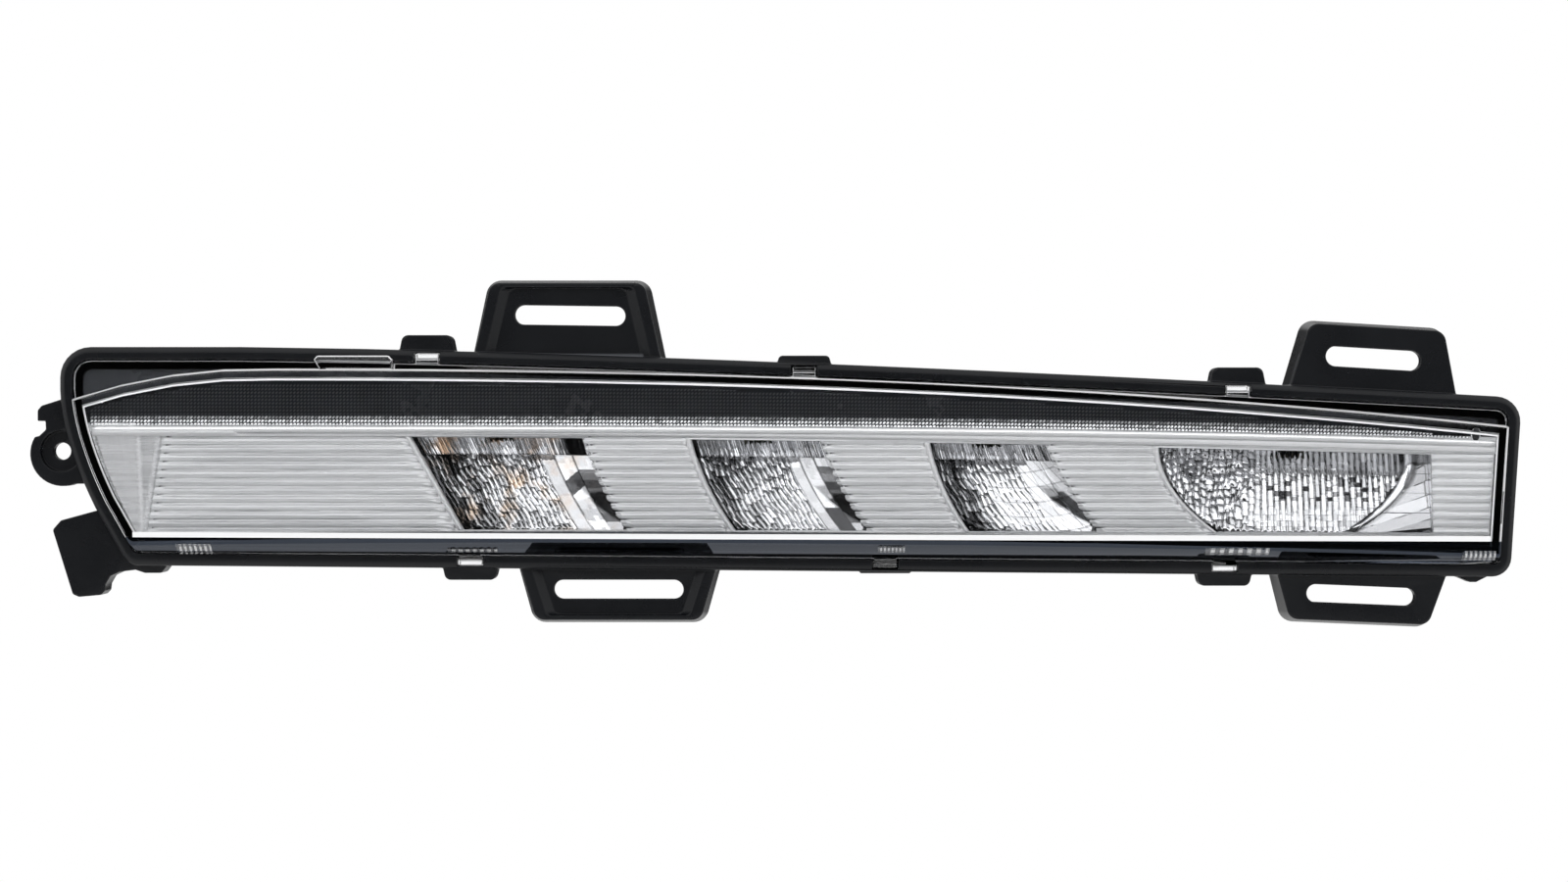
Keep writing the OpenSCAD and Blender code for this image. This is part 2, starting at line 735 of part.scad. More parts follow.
module reflector_lugs(i) {
    for (side = [0, 1]) {
        x = lug_x(i, side);
        wall_x = edge_x(i, side, reflector_lug_z) + (side == 0 ? -bowl_wall : bowl_wall) / 2;
        box([min(x, wall_x), lug_front_y, reflector_lug_z - boss_r],
            [max(x, wall_x), lug_front_y + reflector_lug_t, reflector_lug_z + boss_r]);
        bar(x, reflector_lug_z, lug_front_y, lug_front_y + reflector_lug_t, boss_r);
    }
}

module reflector(i) {
    color("gainsboro")
        difference() {
            union() {
                bowl_block(i, bezel_back_y, bowl_wall, bowl_wall);
                reflector_lugs(i);
            }
            bowl_block(i, bezel_back_y - 1, 0, 0);
            led_notch(i);
            for (side = [0, 1])
                bar(lug_x(i, side), reflector_lug_z, -far, far, pilot_r);
        }
}

// Housing details on the inside
module bezel_lugs() {
    intersection() {
        shell_block(shell_wall / 2);
        slab(lug_front_y, lug_front_y + lug_t)
            union() {
                translate([bezel_screw_left[0] - far, bezel_screw_left[1] - boss_r])
                    square([far + boss_r, 2 * boss_r]);
                translate([bezel_screw_right[0] - boss_r, bezel_screw_right[1] - boss_r])
                    square([far, 2 * boss_r]);
                for (k = [1, 2])
                    translate([bezel_screw_places[k][0] - boss_r, -far])
                        square([2 * boss_r, far + bezel_screw_low_z + boss_r]);
            }
    }
}

// Heat sink, in the tilted frame of the light board
sink_shift = 7.2;
sink_x = mid_x + sink_shift - sink_l / 2 - board_x;
sink_low = -10;
sink_screw_in = 4;
sink_end = 8;
shelf_gap = 0.8;
opening_low = -3;
opening_high = board_t + sink_t + shelf_gap;
sink_screws = [for (x = [sink_x + sink_end / 2, sink_x + sink_l - sink_end / 2])
    for (z = [sink_low + sink_screw_in, sink_low + sink_h - sink_screw_in]) [x, z]];
sink_boss_reach = 5;

module sink_opening(grow = 0) {
    box([sink_x + sink_end, shell_depth - 2 * shell_wall, opening_low],
        [sink_x + sink_l - sink_end, sink_base_y + grow, opening_high]);
}

module sink_bars(front_y, back_y, r) {
    for (p = sink_screws) bar(p[0], p[1], front_y, back_y, r);
}

module heat_sink() {
    color("silver")
        in_board_frame()
            difference() {
                union() {
                    box([sink_x, sink_base_y, sink_low],
                        [sink_x + sink_l, sink_base_y + sink_t, sink_low + sink_h]);
                    box([sink_x + sink_end + shelf_gap, shelf_front_y, board_t],
                        [sink_x + sink_l - sink_end - shelf_gap, sink_base_y + 1,
                            board_t + sink_t]);
                    for (x = [sink_x + sink_end + 1 : fin_pitch :
                            sink_x + sink_l - sink_end - fin_t])
                        box([x, sink_base_y + sink_t - 1, sink_low],
                            [x + fin_t, sink_base_y + sink_t + fin_h, sink_low + sink_h]);
                }
                sink_bars(-far, far, pilot_r);
                board_bars(0, board_t + sink_t + 1, pilot_r);
            }
}

module heat_sink_gasket() {
    color("dimgray")
        in_board_frame()
            difference() {
                box([sink_x, shell_depth, sink_low],
                    [sink_x + sink_l, sink_base_y, sink_low + sink_h]);
                sink_opening(1);
                sink_bars(-far, far, pilot_r);
            }
}

module heat_sink_screws() {
    color("lightgray")
        in_board_frame() {
            sink_bars(shell_depth - sink_boss_reach, sink_base_y + sink_t, screw_r);
            sink_bars(sink_base_y + sink_t, sink_base_y + sink_t + screw_head_h, screw_head_r);
        }
}

// Light board under the shelf, held by screws between the pockets
board_screw_y = 13;
board_screw_x = [for (i = [0 : 2])
    edge_x(i, 1, pocket_top(led_x(i))) + bowl_wall + side_gap + screw_head_r - board_x];
module board_bars(low_z, high_z, r) {
    for (x = board_screw_x)
        translate([x, board_screw_y, low_z]) cylinder(h = high_z - low_z, r = r);
}

module light_board() {
    color("darkgreen")
        in_board_frame()
            difference() {
                box([0, shelf_front_y, 0], [board_l, shelf_front_y + board_w, board_t]);
                board_bars(-1, board_t + 1, pilot_r);
            }
}

module board_screws() {
    color("lightgray")
        in_board_frame() {
            board_bars(0, board_t + sink_t, screw_r);
            board_bars(-screw_head_h / 2, 0, screw_head_r);
        }
}

module led(i) {
    color("khaki")
        in_board_frame()
            translate([(led_x(i) - board_x) / cos(board_tilt), led_y, 0])
                difference() {
                    box([-led_w / 2, -led_w / 2, -led_h], [led_w / 2, led_w / 2, 0]);
                    translate([0, 0, -led_h - 1]) cylinder(h = 1 + led_h / 3, r = led_w / 2 - 0.8);
                }
}

// Driver board on two posts inside the back wall
driver_back_y = plate_in_y - driver_post;
driver_front_y = driver_back_y - board_t;
driver_z = -21;
driver_mid_z = driver_z + driver_h / 2;
driver_plug = 10;
driver_screw_x = [driver_x + 5, driver_x + driver_l - driver_plug - 6];
post_r = boss_r;
module driver_bars(front_y, back_y, r) {
    for (x = driver_screw_x) bar(x, driver_mid_z, front_y, back_y, r);
}

module driver_board() {
    color("green")
        difference() {
            box([driver_x, driver_front_y, driver_z],
                [driver_x + driver_l, driver_back_y, driver_z + driver_h]);
            driver_bars(-far, far, pilot_r);
        }
}

module driver_screws() {
    color("lightgray") {
        driver_bars(driver_front_y, plate_in_y + 1, screw_r);
        driver_bars(driver_front_y - screw_head_h, driver_front_y, screw_head_r);
    }
}

coil_r = 4.2;
coil_h = 4.4;
coil_x = driver_x + driver_l / 6;
module driver_coil() {
    color("saddlebrown")
        difference() {
            bar(coil_x, driver_mid_z, driver_front_y - coil_h, driver_front_y, coil_r);
            difference() {
                bar(coil_x, driver_mid_z, driver_front_y - coil_h + 1, driver_front_y - 1, far);
                bar(coil_x, driver_mid_z, driver_front_y - coil_h, driver_front_y, coil_r - 0.8);
            }
        }
}

capacitor_r = 3;
capacitor_h = 5;
capacitor_x = [driver_x + 0.3 * driver_l, driver_x + 0.54 * driver_l];
chip_x = driver_x + 0.63 * driver_l;
chip_t = 1.6;
chip_w = 6;
module driver_parts() {
    color("dimgray") {
        for (x = capacitor_x)
            bar(x, driver_mid_z, driver_front_y - capacitor_h, driver_front_y, capacitor_r);
        box([chip_x, driver_front_y - chip_t, driver_mid_z - chip_w / 2],
            [chip_x + chip_w, driver_front_y, driver_mid_z + chip_w / 2]);
    }
}

// Flat leads: one up to the light board, one along to the connector
ribbon_t = 0.6;
jumper_w = 5.6;
jumper_room = 3;
jumper_x = pocket_2_x - bowl_wall - jumper_room - jumper_w - board_x;
jumper_plug = 4;
jumper_low = driver_z + driver_h - board_z;
module driver_jumper() {
    color("white")
        in_board_frame()
            translate([jumper_x, 0, 0]) {
                box([0, board_screw_y - 1, -2], [jumper_w, board_screw_y + 3, 0]);
                box([0, board_screw_y, -1.6], [jumper_w, driver_front_y, -1.6 + ribbon_t]);
                box([0, driver_front_y - ribbon_t, jumper_low - 2],
                    [jumper_w, driver_front_y, -1.6 + ribbon_t]);
                box([0, driver_front_y - 3, jumper_low - 2],
                    [jumper_w, driver_front_y, jumper_low + 1]);
            }
}

socket_z = -14;
socket_sink = 6;
socket_in_y = shell_depth - socket_sink;
pin_t = 0.8;
pin_w = 2.4;
pin_pitch = 4.6;
lead_y = driver_front_y - jumper_plug;
lead_x = driver_x + driver_l - driver_plug + 1;
module connector_jumper() {
    color("white") {
        box([lead_x, lead_y, driver_mid_z - 3],
            [driver_x + driver_l - 1, driver_front_y, driver_mid_z + 3]);
        box([lead_x + 1, lead_y, driver_mid_z - 2],
            [socket_at + pin_pitch + 1, lead_y + ribbon_t, driver_mid_z + 2]);
        box([socket_at - pin_pitch - 1, lead_y, socket_z - 3],
            [socket_at + pin_pitch + 1, socket_in_y, socket_z + 3]);
    }
}

seal_w = 3;
connector_seal_t = 0.8;
socket_flange_y = shell_depth + connector_seal_t;
module socket_outline(grow) {
    translate([socket_at, socket_z])
        offset(delta = grow) square([socket_w, socket_h], center = true);
}

module connector_socket() {
    color("#26272a")
        difference() {
            union() {
                slab(socket_in_y, shell_depth + socket_l) socket_outline(0);
                slab(socket_flange_y, socket_flange_y + 2) socket_outline(seal_w);
                box([socket_at - 3, shell_depth + 4, socket_z + socket_h / 2 - 1],
                    [socket_at + 3, shell_depth + 8, socket_z + socket_h / 2 + 1.6]);
            }
            slab(shell_depth + 1, far) socket_outline(-socket_wall);
            connector_bars(-far, 0.15);
        }
}

module connector_bars(front_y, grow) {
    for (k = [-1 : 1])
        box([socket_at + k * pin_pitch - pin_t / 2 - grow, front_y, socket_z - pin_w / 2 - grow],
            [socket_at + k * pin_pitch + pin_t / 2 + grow, shell_depth + socket_l - 4,
                socket_z + pin_w / 2 + grow]);
}

module connector_pins() {
    color("goldenrod") connector_bars(socket_in_y, 0);
}

module connector_seal() {
    color("orangered")
        difference() {
            slab(shell_depth, socket_flange_y) socket_outline(seal_w);
            slab(-far, far) socket_outline(side_gap);
        }
}

// Breather in the back wall, with its rubber cap
breather = [78, 2];
spout_r = 3.4;
spout_h = 5;
module breather_cap() {
    color("#2b2b2b")
        difference() {
            bar(breather[0], breather[1], shell_depth + 1, shell_depth + 1 + cap_l, cap_r);
            bar(breather[0], breather[1], -far, shell_depth + spout_h, spout_r + side_gap);
        }
}

// Stiffening ribs under the heat sink, outside the back wall
rib_low_z = -22;
rib_high_z = -9;
back_rib_in = 8;
back_rib_pitch = 38;
rib_left_x = rim_start + left_slope + back_rib_in;
rib_right_x = socket_at - socket_w / 2 - seal_w - back_rib_in;
module back_ribs() {
    box([rib_left_x, shell_depth - 1, rib_high_z - rib_t],
        [rib_right_x, shell_depth + rib_h, rib_high_z]);
    for (x = [rib_left_x + back_rib_pitch : back_rib_pitch : rib_right_x - rib_t])
        box([x, shell_depth - 1, rib_low_z], [x + rib_t, shell_depth + rib_h, rib_high_z]);
}

module rim_ring() {
    difference() {
        hull() {
            slab(rim_front_y, rim_front_y + skin) rim_outline(rim_round);
            slab(rim_front_y + rim_round, rim_back) rim_outline();
        }
        slab(-far, far) rim_outline(rim_w);
    }
}

foot_sink = rim_w - 1;

module tab(x, w, foot_z, rise, side, tilt, sunk) {
    translate([x, 0, foot_z])
        rotate([0, tilt, 0])
            mirror([0, 0, side])
                difference() {
                    hull() {
                        slab(-tab_proud, -tab_proud + skin) tab_shape(w, rise, -tab_draft);
                        slab(tab_depth - tab_proud - skin, tab_depth - tab_proud)
                            tab_shape(w, rise, 0);
                    }
                    slab(tab_plate + sunk - tab_proud, far) tab_shape(w, rise, -tab_wall);
                    if (sunk > 0) tab_face_cut(w, rise, sunk);
                }
}

module housing() {
    color("#1b1c1e")
        difference() {
            union() {
                rim_ring();
                slab(deck_y, deck_y + deck_t)
                    difference() {
                        rim_outline(rim_w / 2);
                        face_outline(cavity_inset);
                    }
                difference() {
                    shell_block(0);
                    intersection() {
                        slab(-far, far) face_outline(cavity_inset);
                        shell_plan(shell_wall);
                    }
                }
                bezel_lugs();
                driver_bars(driver_back_y, plate_in_y + 1, post_r);
                in_board_frame()
                    sink_bars(shell_depth - sink_boss_reach - 1, shell_depth - 1, boss_r);
                bar(breather[0], breather[1], shell_depth - 1, shell_depth + spout_h, spout_r);
                back_ribs();
                clip_loops();
                screw_eye();
                foot_tab();
                corner_boss();
                tab(tab_1_x, tab_1_w, rim_top_z(tab_1_x), tab_1_z - rim_top_z(tab_1_x), 0, 0,
                    tab_sink);
                tab(tab_2_x, tab_2_w, rim_bottom_z(tab_2_x), tab_2_z + rim_bottom_z(tab_2_x), 1,
                    0, tab_sink);
                tab(tab_3_at, tab_3_w, rim_top_z(tab_3_at), tab_3_z - rim_top_z(tab_3_at), 0,
                    tab_3_tilt, 0);
                tab(tab_4_at, tab_4_w, rim_bottom_z(tab_4_at), tab_4_z + rim_bottom_z(tab_4_at),
                    1, tab_4_tilt, 0);
            }
            slot_cut(tab_1_x + slot_1_shift, slot_1_z, slot_1_l, slot_1_h, slot_1_tilt);
            slot_cut(tab_2_x, -slot_2_z, slot_2_l, slot_2_h, 0);
            slot_cut(tab_3_at, slot_3_z, slot_3_l, slot_3_h, tab_3_tilt);
            slot_cut(tab_4_at, -slot_4_z, slot_4_l, slot_4_h, tab_4_tilt);
            clip_windows();
            for (p = bezel_screw_places) bar(p[0], p[1], -far, shell_depth / 2, pilot_r);
            driver_bars(-far, shell_depth - 0.8, pilot_r);
            in_board_frame() {
                sink_opening();
                sink_bars(-far, far, pilot_r);
            }
            slab(plate_in_y - 1, shell_depth + 1) socket_outline(side_gap);
            bar(breather[0], breather[1], -far, far, spout_r / 2);
        }
}

// Raised lens body: the face outline under a gently crowned front
module lens_body(inset) {
    intersection() {
        difference() {
            slab(-lens_proud - 1, flange_back_y) face_outline(inset);
            foot_slope(inset);
        }
        translate([mid_x, lens_crown_r - lens_proud, -far])
            cylinder(h = 2 * far, r = lens_crown_r - inset, $fn = 1800);
    }
}

// Slope along the foot of the raised face
module foot_slope(inset) {
    foot_z = rim_bottom_z(rim_start) + rim_w + side_gap + inset;
    translate([rim_start, 0, foot_z])
        rotate([0, atan(bottom_fall / rim_length), 0])
            translate([-rim_start, 0, 0])
                along_lamp()
                    polygon([[-lens_proud - 2, -far], [-lens_proud - 2, face_foot],
                        [-lens_proud + inset, face_foot],
                        [-lens_proud + inset + face_foot_depth, 0],
                        [-lens_proud + inset + face_foot_depth, -far]]);
}

// Pad over the top edge of the raised face, with a slanted left end; it clears the rim
pad_front_y = -9.5;
pad_slant = 3;
module lens_pad() {
    low_z = face_top_z(lens_pad_x) - lens_wall;
    top_z = face_top_z(lens_pad_x + lens_pad_l) + lens_pad_h;
    right_x = lens_pad_x + lens_pad_l;
    difference() {
        slab(pad_front_y, flange_front_y + cut)
            polygon([[lens_pad_x + pad_slant, low_z], [lens_pad_x, top_z - 1],
                [lens_pad_x + 1, top_z], [right_x - 1, top_z], [right_x, top_z - 1],
                [right_x, low_z]]);
        slab(rim_front_y - side_gap, 0)
            difference() {
                rim_outline(-far);
                rim_outline(rim_w + side_gap / 2);
            }
    }
}

module lens() {
    color("#a8c4d4", 0.35)
        difference() {
            union() {
                lens_body(0);
                lens_pad();
                slab(flange_front_y, flange_back_y) rim_outline(rim_w + side_gap / 2);
                lens_hooks();
            }
            lens_body(lens_wall);
            slab(flange_back_y - flange_t - 1, far) face_outline(lens_wall);
        }
}

module lens_seal() {
    color("#333333")
        slab(flange_back_y, deck_y)
            difference() {
                rim_outline(rim_w + side_gap);
                rim_outline(rim_w + side_gap + lens_wall - side_gap / 2);
            }
}

// Skirt that carries the bezel and the upper trim on the ledge
module skirt_outline() {
    difference() {
        face_outline(cover_inset);
        face_outline(cavity_inset);
    }
}

module bezel_outline() {
    difference() {
        intersection() {
            face_outline(cover_inset);
            below_bezel();
        }
        below_window_bottom(lip_h);
    }
}

module window_outline() {
    difference() {
        intersection() {
            face_outline(cover_inset);
            below_window_top();
        }
        below_window_bottom();
    }
}

// Level ribs over the window, from their start line to the right end
rib_count = floor((window_top + window_bottom + window_bottom_fall) / rib_pitch) + 1;
module level_ribs() {
    low = -window_bottom - window_bottom_fall;
    intersection() {
        along_lamp()
            polygon(concat([[bezel_front_y + 0.1, low]],
                [for (k = [0 : rib_count - 1]) for (a = [0 : 45 : 180])
                    [bezel_front_y - rib_rise * sin(a) + cut,
                        low + rib_pitch * (k + 0.5 - cos(a) / 2)]],
                [[bezel_front_y + 0.1, low + rib_pitch * rib_count]]));
        slab(bezel_front_y - 1, bezel_front_y + 0.1)
            difference() {
                intersection() {
                    window_outline();
                    face_outline(cover_inset + side_gap);
                }
                polygon([[-far, far], [ribs_start_top, window_top],
                    [ribs_start_bottom, -window_bottom], [-far, -far]]);
            }
    }
}

module bezel() {
    color("#d7d9dd")
        difference() {
            union() {
                slab(bezel_front_y, bezel_back_y) bezel_outline();
                slab(bezel_front_y - band_t, bezel_front_y + 0.1)
                    difference() {
                        bezel_outline();
                        window_outline();
                    }
                level_ribs();
                slab(bezel_back_y - 0.1, deck_y)
                    intersection() {
                        bezel_outline();
                        skirt_outline();
                    }
                for (p = concat(bezel_screw_places, reflector_screw_places))
                    bar(p[0], p[1], bezel_back_y - 0.1, lug_front_y, boss_r);
            }
            for (i = [0 : 3]) slab(-far, lug_front_y + 1) pocket_outline(i);
            for (p = concat(bezel_screw_places, reflector_screw_places))
                bar(p[0], p[1], bezel_back_y, far, pilot_r);
        }
}

module upper_trim() {
    color("#2c2f33")
        difference() {
            union() {
                slab(bezel_front_y - band_t, bezel_back_y) face_outline(cover_inset);
                slab(bezel_back_y - 0.1, deck_y) skirt_outline();
            }
            slab(-far, far) below_bezel(side_gap);
        }
}

module bezel_screws() {
    color("lightgray")
        for (p = bezel_screw_places) {
            bar(p[0], p[1], bezel_back_y + 1, lug_front_y + lug_t, screw_r);
            bar(p[0], p[1], lug_front_y + lug_t, lug_front_y + lug_t + screw_head_h,
                screw_head_r);
        }
}

module reflector_screws() {
    color("lightgray")
        for (p = reflector_screw_places) {
            bar(p[0], p[1], bezel_back_y + 1, lug_front_y + reflector_lug_t, screw_r);
            bar(p[0], p[1], lug_front_y + reflector_lug_t,
                lug_front_y + reflector_lug_t + screw_head_h, screw_head_r);
        }
}

housing();
lens();
lens_seal();
bezel();
upper_trim();
reflector(0);  // reflector_1
reflector(1);  // reflector_2
reflector(2);  // reflector_3
reflector(3);  // reflector_4
light_board();
led(0);  // led_1
led(1);  // led_2
led(2);  // led_3
led(3);  // led_4
heat_sink();
heat_sink_gasket();
driver_board();
driver_coil();
driver_parts();
driver_jumper();
connector_jumper();
connector_socket();
connector_pins();
connector_seal();
breather_cap();
bezel_screws();
reflector_screws();
board_screws();
driver_screws();
heat_sink_screws();
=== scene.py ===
# %% [markdown]
# A daytime running light is a sealed sandwich: a black moulded housing, a bright ribbed bezel with four
# fluted pockets, a charcoal trim above it and a clear moulded lens over everything.
# The solids of the lamp are loaded first, at their real size. New pieces could be modelled freely beside
# them, but setting each one by the solids keeps the lamp true to its drawing.

import json
import math

import bmesh
import bpy
from mathutils import Matrix, Vector


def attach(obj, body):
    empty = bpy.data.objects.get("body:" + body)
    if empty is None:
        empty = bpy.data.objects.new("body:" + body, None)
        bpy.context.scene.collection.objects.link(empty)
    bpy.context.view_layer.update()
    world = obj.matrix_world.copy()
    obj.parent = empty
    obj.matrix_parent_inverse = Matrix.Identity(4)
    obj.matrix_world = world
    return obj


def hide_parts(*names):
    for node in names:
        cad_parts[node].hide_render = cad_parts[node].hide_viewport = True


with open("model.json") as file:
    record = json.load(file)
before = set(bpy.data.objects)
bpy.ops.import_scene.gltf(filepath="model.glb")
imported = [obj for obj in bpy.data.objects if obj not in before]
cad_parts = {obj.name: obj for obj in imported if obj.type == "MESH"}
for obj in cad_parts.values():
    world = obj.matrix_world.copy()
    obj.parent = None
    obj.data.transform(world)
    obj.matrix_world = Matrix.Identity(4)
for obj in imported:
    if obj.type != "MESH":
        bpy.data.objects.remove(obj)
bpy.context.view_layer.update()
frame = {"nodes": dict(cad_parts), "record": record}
nodes = frame["nodes"]
MM = 0.001

# %% [markdown]
# The long edges of the lamp are gentle curves. They could be read off the meshes, but writing each one once,
# as the height at a place along the lamp, keeps the bezel, the trim and the pockets on the same lines.
# An edge is a starting height less a fall, and a power above 1 makes the fall grow towards the right end.
# The numbers are those of the solids, in millimetres.

# %% Lines of the lamp
RIM_START = 0.2
RIM_LENGTH = 371.4
RIM_END = RIM_START + RIM_LENGTH
RIM_BEND = 46.0
FACE_PEAK = 50.0
BEZEL_PLATE_Y = -5.0
BEZEL_BACK_Y = -3.2
COVER_INSET = 6.2
LEFT_GAP = 0.6
RIGHT_GAP = 0.9


def along(x):
    """Share of the way along the lamp, from 0 at its left end to 1 at its right end."""
    return max(0.0, x - RIM_START) / RIM_LENGTH


def rim_top(x):
    """Upper edge of the rim, level as far as its bend."""
    return 26.5 - 12.9 * (max(0.0, x - RIM_BEND) / 325.6) ** 1.4


def rim_foot(x):
    """Lower edge of the rim."""
    return -29.0 - 2.9 * along(x)


def bezel_top(x):
    """Upper edge of the bezel, where the trim starts."""
    return 7.2 - 3.9 * along(x) ** 3.5


def window_top(x):
    """Upper edge of the row of pockets."""
    return 4.6 - 5.5 * along(x) ** 2.2


def window_foot(x):
    """Lower edge of the row of pockets."""
    return -20.3 - 1.2 * along(x)


def face_top(x):
    """Upper edge of the raised face of the lens, which falls away on both sides of its peak."""
    if x < FACE_PEAK:
        return 20.7 - 8.8 * ((FACE_PEAK - x) / 49.8) ** 2
    return 20.7 - 14.9 * ((x - FACE_PEAK) / 321.6) ** 2.3


def left_end(z):
    """Left end of the rim at a height."""
    return RIM_START + 17.3 * (max(0.0, 15.5 - z) / 44.5) ** 1.65


def cover_left(z):
    """Left end of the bezel and the trim, inside the wall of the lens."""
    return left_end(z) + COVER_INSET + LEFT_GAP


def cover_right(z):
    """Right end of the bezel and the trim, which leans inwards to its foot."""
    return RIM_END - COVER_INSET - RIGHT_GAP - 2.6 * (4.0 - z) / 26.0


print("bezel from", round(cover_left(5), 1), "to", round(cover_right(0), 1), "mm")

# %% [markdown]
# Each pocket is a slanted window in the bezel, and a bright bowl stands behind it. Its two edges lean and
# bow. They could be splines, but one small function of the share of the way down, 0 at the top and 1 at the
# foot, gives the same line to the rims, the ribs and the bowls that meet there.

# %% Edges of the pockets
# Left edge, width, lean of both edges and bow of both edges, in millimetres
POCKETS = [
    (89.1, 44.8, 13.4, 11.7, 0.0, 1.4),
    (160.2, 33.9, 11.3, 12.7, 1.4, 1.4),
    (220.8, 30.3, 10.0, 14.3, 1.4, 1.4),
    (278.9, 69.4, 14.7, 0.5, 3.6, 0.0)]
MARGIN = 0.7


def pocket_edge(i, side, t):
    """Place along the lamp of the left (0) or right (1) edge of a pocket."""
    x, width, lean_left, lean_right, bow_left, bow_right = POCKETS[i]
    lean = (lean_left, lean_right)[side]
    bow = (bow_left, bow_right)[side]
    return x + side * width + lean * t - bow * 4 * t * (1 - t)


def pocket_z(x, t):
    """Height inside a pocket, from its top at 0 to its foot at 1."""
    top = window_top(x) - MARGIN
    foot = window_foot(x) + MARGIN
    return top + (foot - top) * t


print("pocket tops start at", [p[0] for p in POCKETS])

# %% [markdown]
# Moulded plastic is full of even changes and small chances, and three helpers cover them. The chances could
# come from a random module with a seed, but then they would depend on the order of the calls. A number that
# is worked out from its own place is the same in every run.

# %% Helpers for numbers
def mix(a, b, share):
    """Number on the way from a to b."""
    return a + (b - a) * share


def smooth(a, b, x):
    """Eased step from 0 at a to 1 at b."""
    t = min(1.0, max(0.0, (x - a) / (b - a)))
    return t * t * (3 - 2 * t)


def chance(i, j=0, k=0):
    """Number from -1 to 1 that is always the same for the same three whole numbers."""
    return 2 * ((math.sin(i * 127.1 + j * 311.7 + k * 74.7) * 43758.5453) % 1.0) - 1


print("steps", [round(smooth(0, 1, k / 4), 2) for k in range(5)], "first chance", round(chance(1), 2))

# %% [markdown]
# Metallised plastic gets its look from shape: ribs, flutes and small tilted facets. They could be sculpted
# by hand, but a flat grid that a function bends is exact, and it is close to how a foil is pressed over a
# tool. The function may hand each point a tone as well, which is kept as an attribute, and every finish
# below says what it makes of it.

# %% Helper that bends a sheet
def finish_object(name, bm, angle):
    """Makes a mesh object from a bmesh, smooth except where faces meet at more than an angle."""
    mesh = bpy.data.meshes.new(name)
    bm.to_mesh(mesh)
    bm.free()
    mesh.shade_smooth()
    mesh.set_sharp_from_angle(angle=math.radians(angle))
    obj = bpy.data.objects.new(name, mesh)
    bpy.context.scene.collection.objects.link(obj)
    print(name, len(mesh.polygons), "faces")
    return obj


def sheet(name, columns, rows, place, wall=0.0, angle=40):
    """Bends a grid: place(u, v) gives a point in millimetres for shares across and up the sheet.

    A fourth number from place is its tone. A wall in millimetres makes the sheet thick.
    """
    bm = bmesh.new()
    layer = bm.verts.layers.float.new("tone")
    bmesh.ops.create_grid(bm, x_segments=columns, y_segments=rows, size=0.5)
    low = min(v.co.x for v in bm.verts)
    high = max(v.co.x for v in bm.verts)
    bottom = min(v.co.y for v in bm.verts)
    top = max(v.co.y for v in bm.verts)
    for v in bm.verts:
        u = (v.co.x - low) / (high - low)
        w = (v.co.y - bottom) / (top - bottom)
        x, y, z, *tone = place(u, w)
        v.co = Vector((x, y, z)) * MM
        v[layer] = tone[0] if tone else 0.0
    bm.normal_update()
    if sum(f.normal.y * f.calc_area() for f in bm.faces) > 0:
        bmesh.ops.reverse_faces(bm, faces=bm.faces)
    obj = finish_object(name, bm, angle)
    if wall:
        shell = obj.modifiers.new("wall", "SOLIDIFY")
        shell.thickness = wall * MM
        shell.offset = -1
    return obj


# %% [markdown]
# No moulding has a sharp edge. A Bevel modifier could round a whole solid, but the lens needs wide rounds in
# front and narrow ones behind, so a helper rounds a copy of the solid step by step. Beside a slope that is
# made of many triangles a bevel throws fins, so such a slope can be merged into one face first. Lines can
# be cut across the faces too, for places where the look of the plastic changes.

# %% Helper that softens a solid
SHARP_ANGLE = 32
FLAT_ANGLE = 0.5
CREASE_ANGLE = 50
ROUNDED_EDGE = 0.01
BRIGHT_EDGE = 1.0
BRIGHT_OVER_FOOT = 5.8
BRIGHT_UNDER_TOP = 1.6
FACES_FRONT = -0.95


def edge_tone(face):
    """Tone of a rounded edge: a painted highlight round the window of the lens, unless it lies flat to the
    front.
    """
    x, y, z = face.calc_center_median() / MM
    round_window = rim_foot(x) + BRIGHT_OVER_FOOT < z < rim_top(x) - BRIGHT_UNDER_TOP
    return BRIGHT_EDGE if round_window and face.normal.y > FACES_FRONT else ROUNDED_EDGE


def merge_flat(bm, flat):
    """Dissolves the edges between faces that are flat to each other and that flat(face) accepts."""
    inner = [e for e in bm.edges if len(e.link_faces) == 2 and all(flat(f) for f in e.link_faces)
             and e.calc_face_angle(0) < math.radians(FLAT_ANGLE)]
    bmesh.ops.dissolve_edges(bm, edges=inner, use_verts=False)


def round_edges(bm, layer, width, segments, depth):
    """Rounds the sharp edges that lie in front of a depth and that no earlier round has taken."""
    sharp = [e for e in bm.edges
             if len(e.link_faces) == 2 and e.calc_face_angle(0) > math.radians(SHARP_ANGLE)
             and max(v.co.y for v in e.verts) < depth * MM
             and not any(f[layer] for f in e.link_faces)]
    made = bmesh.ops.bevel(bm, geom=sharp, offset=width * MM, offset_type="OFFSET", segments=segments,
                           profile=0.5, affect="EDGES", material=-1, clamp_overlap=False)
    for face in made["faces"]:
        face.normal_update()
        face[layer] = edge_tone(face)


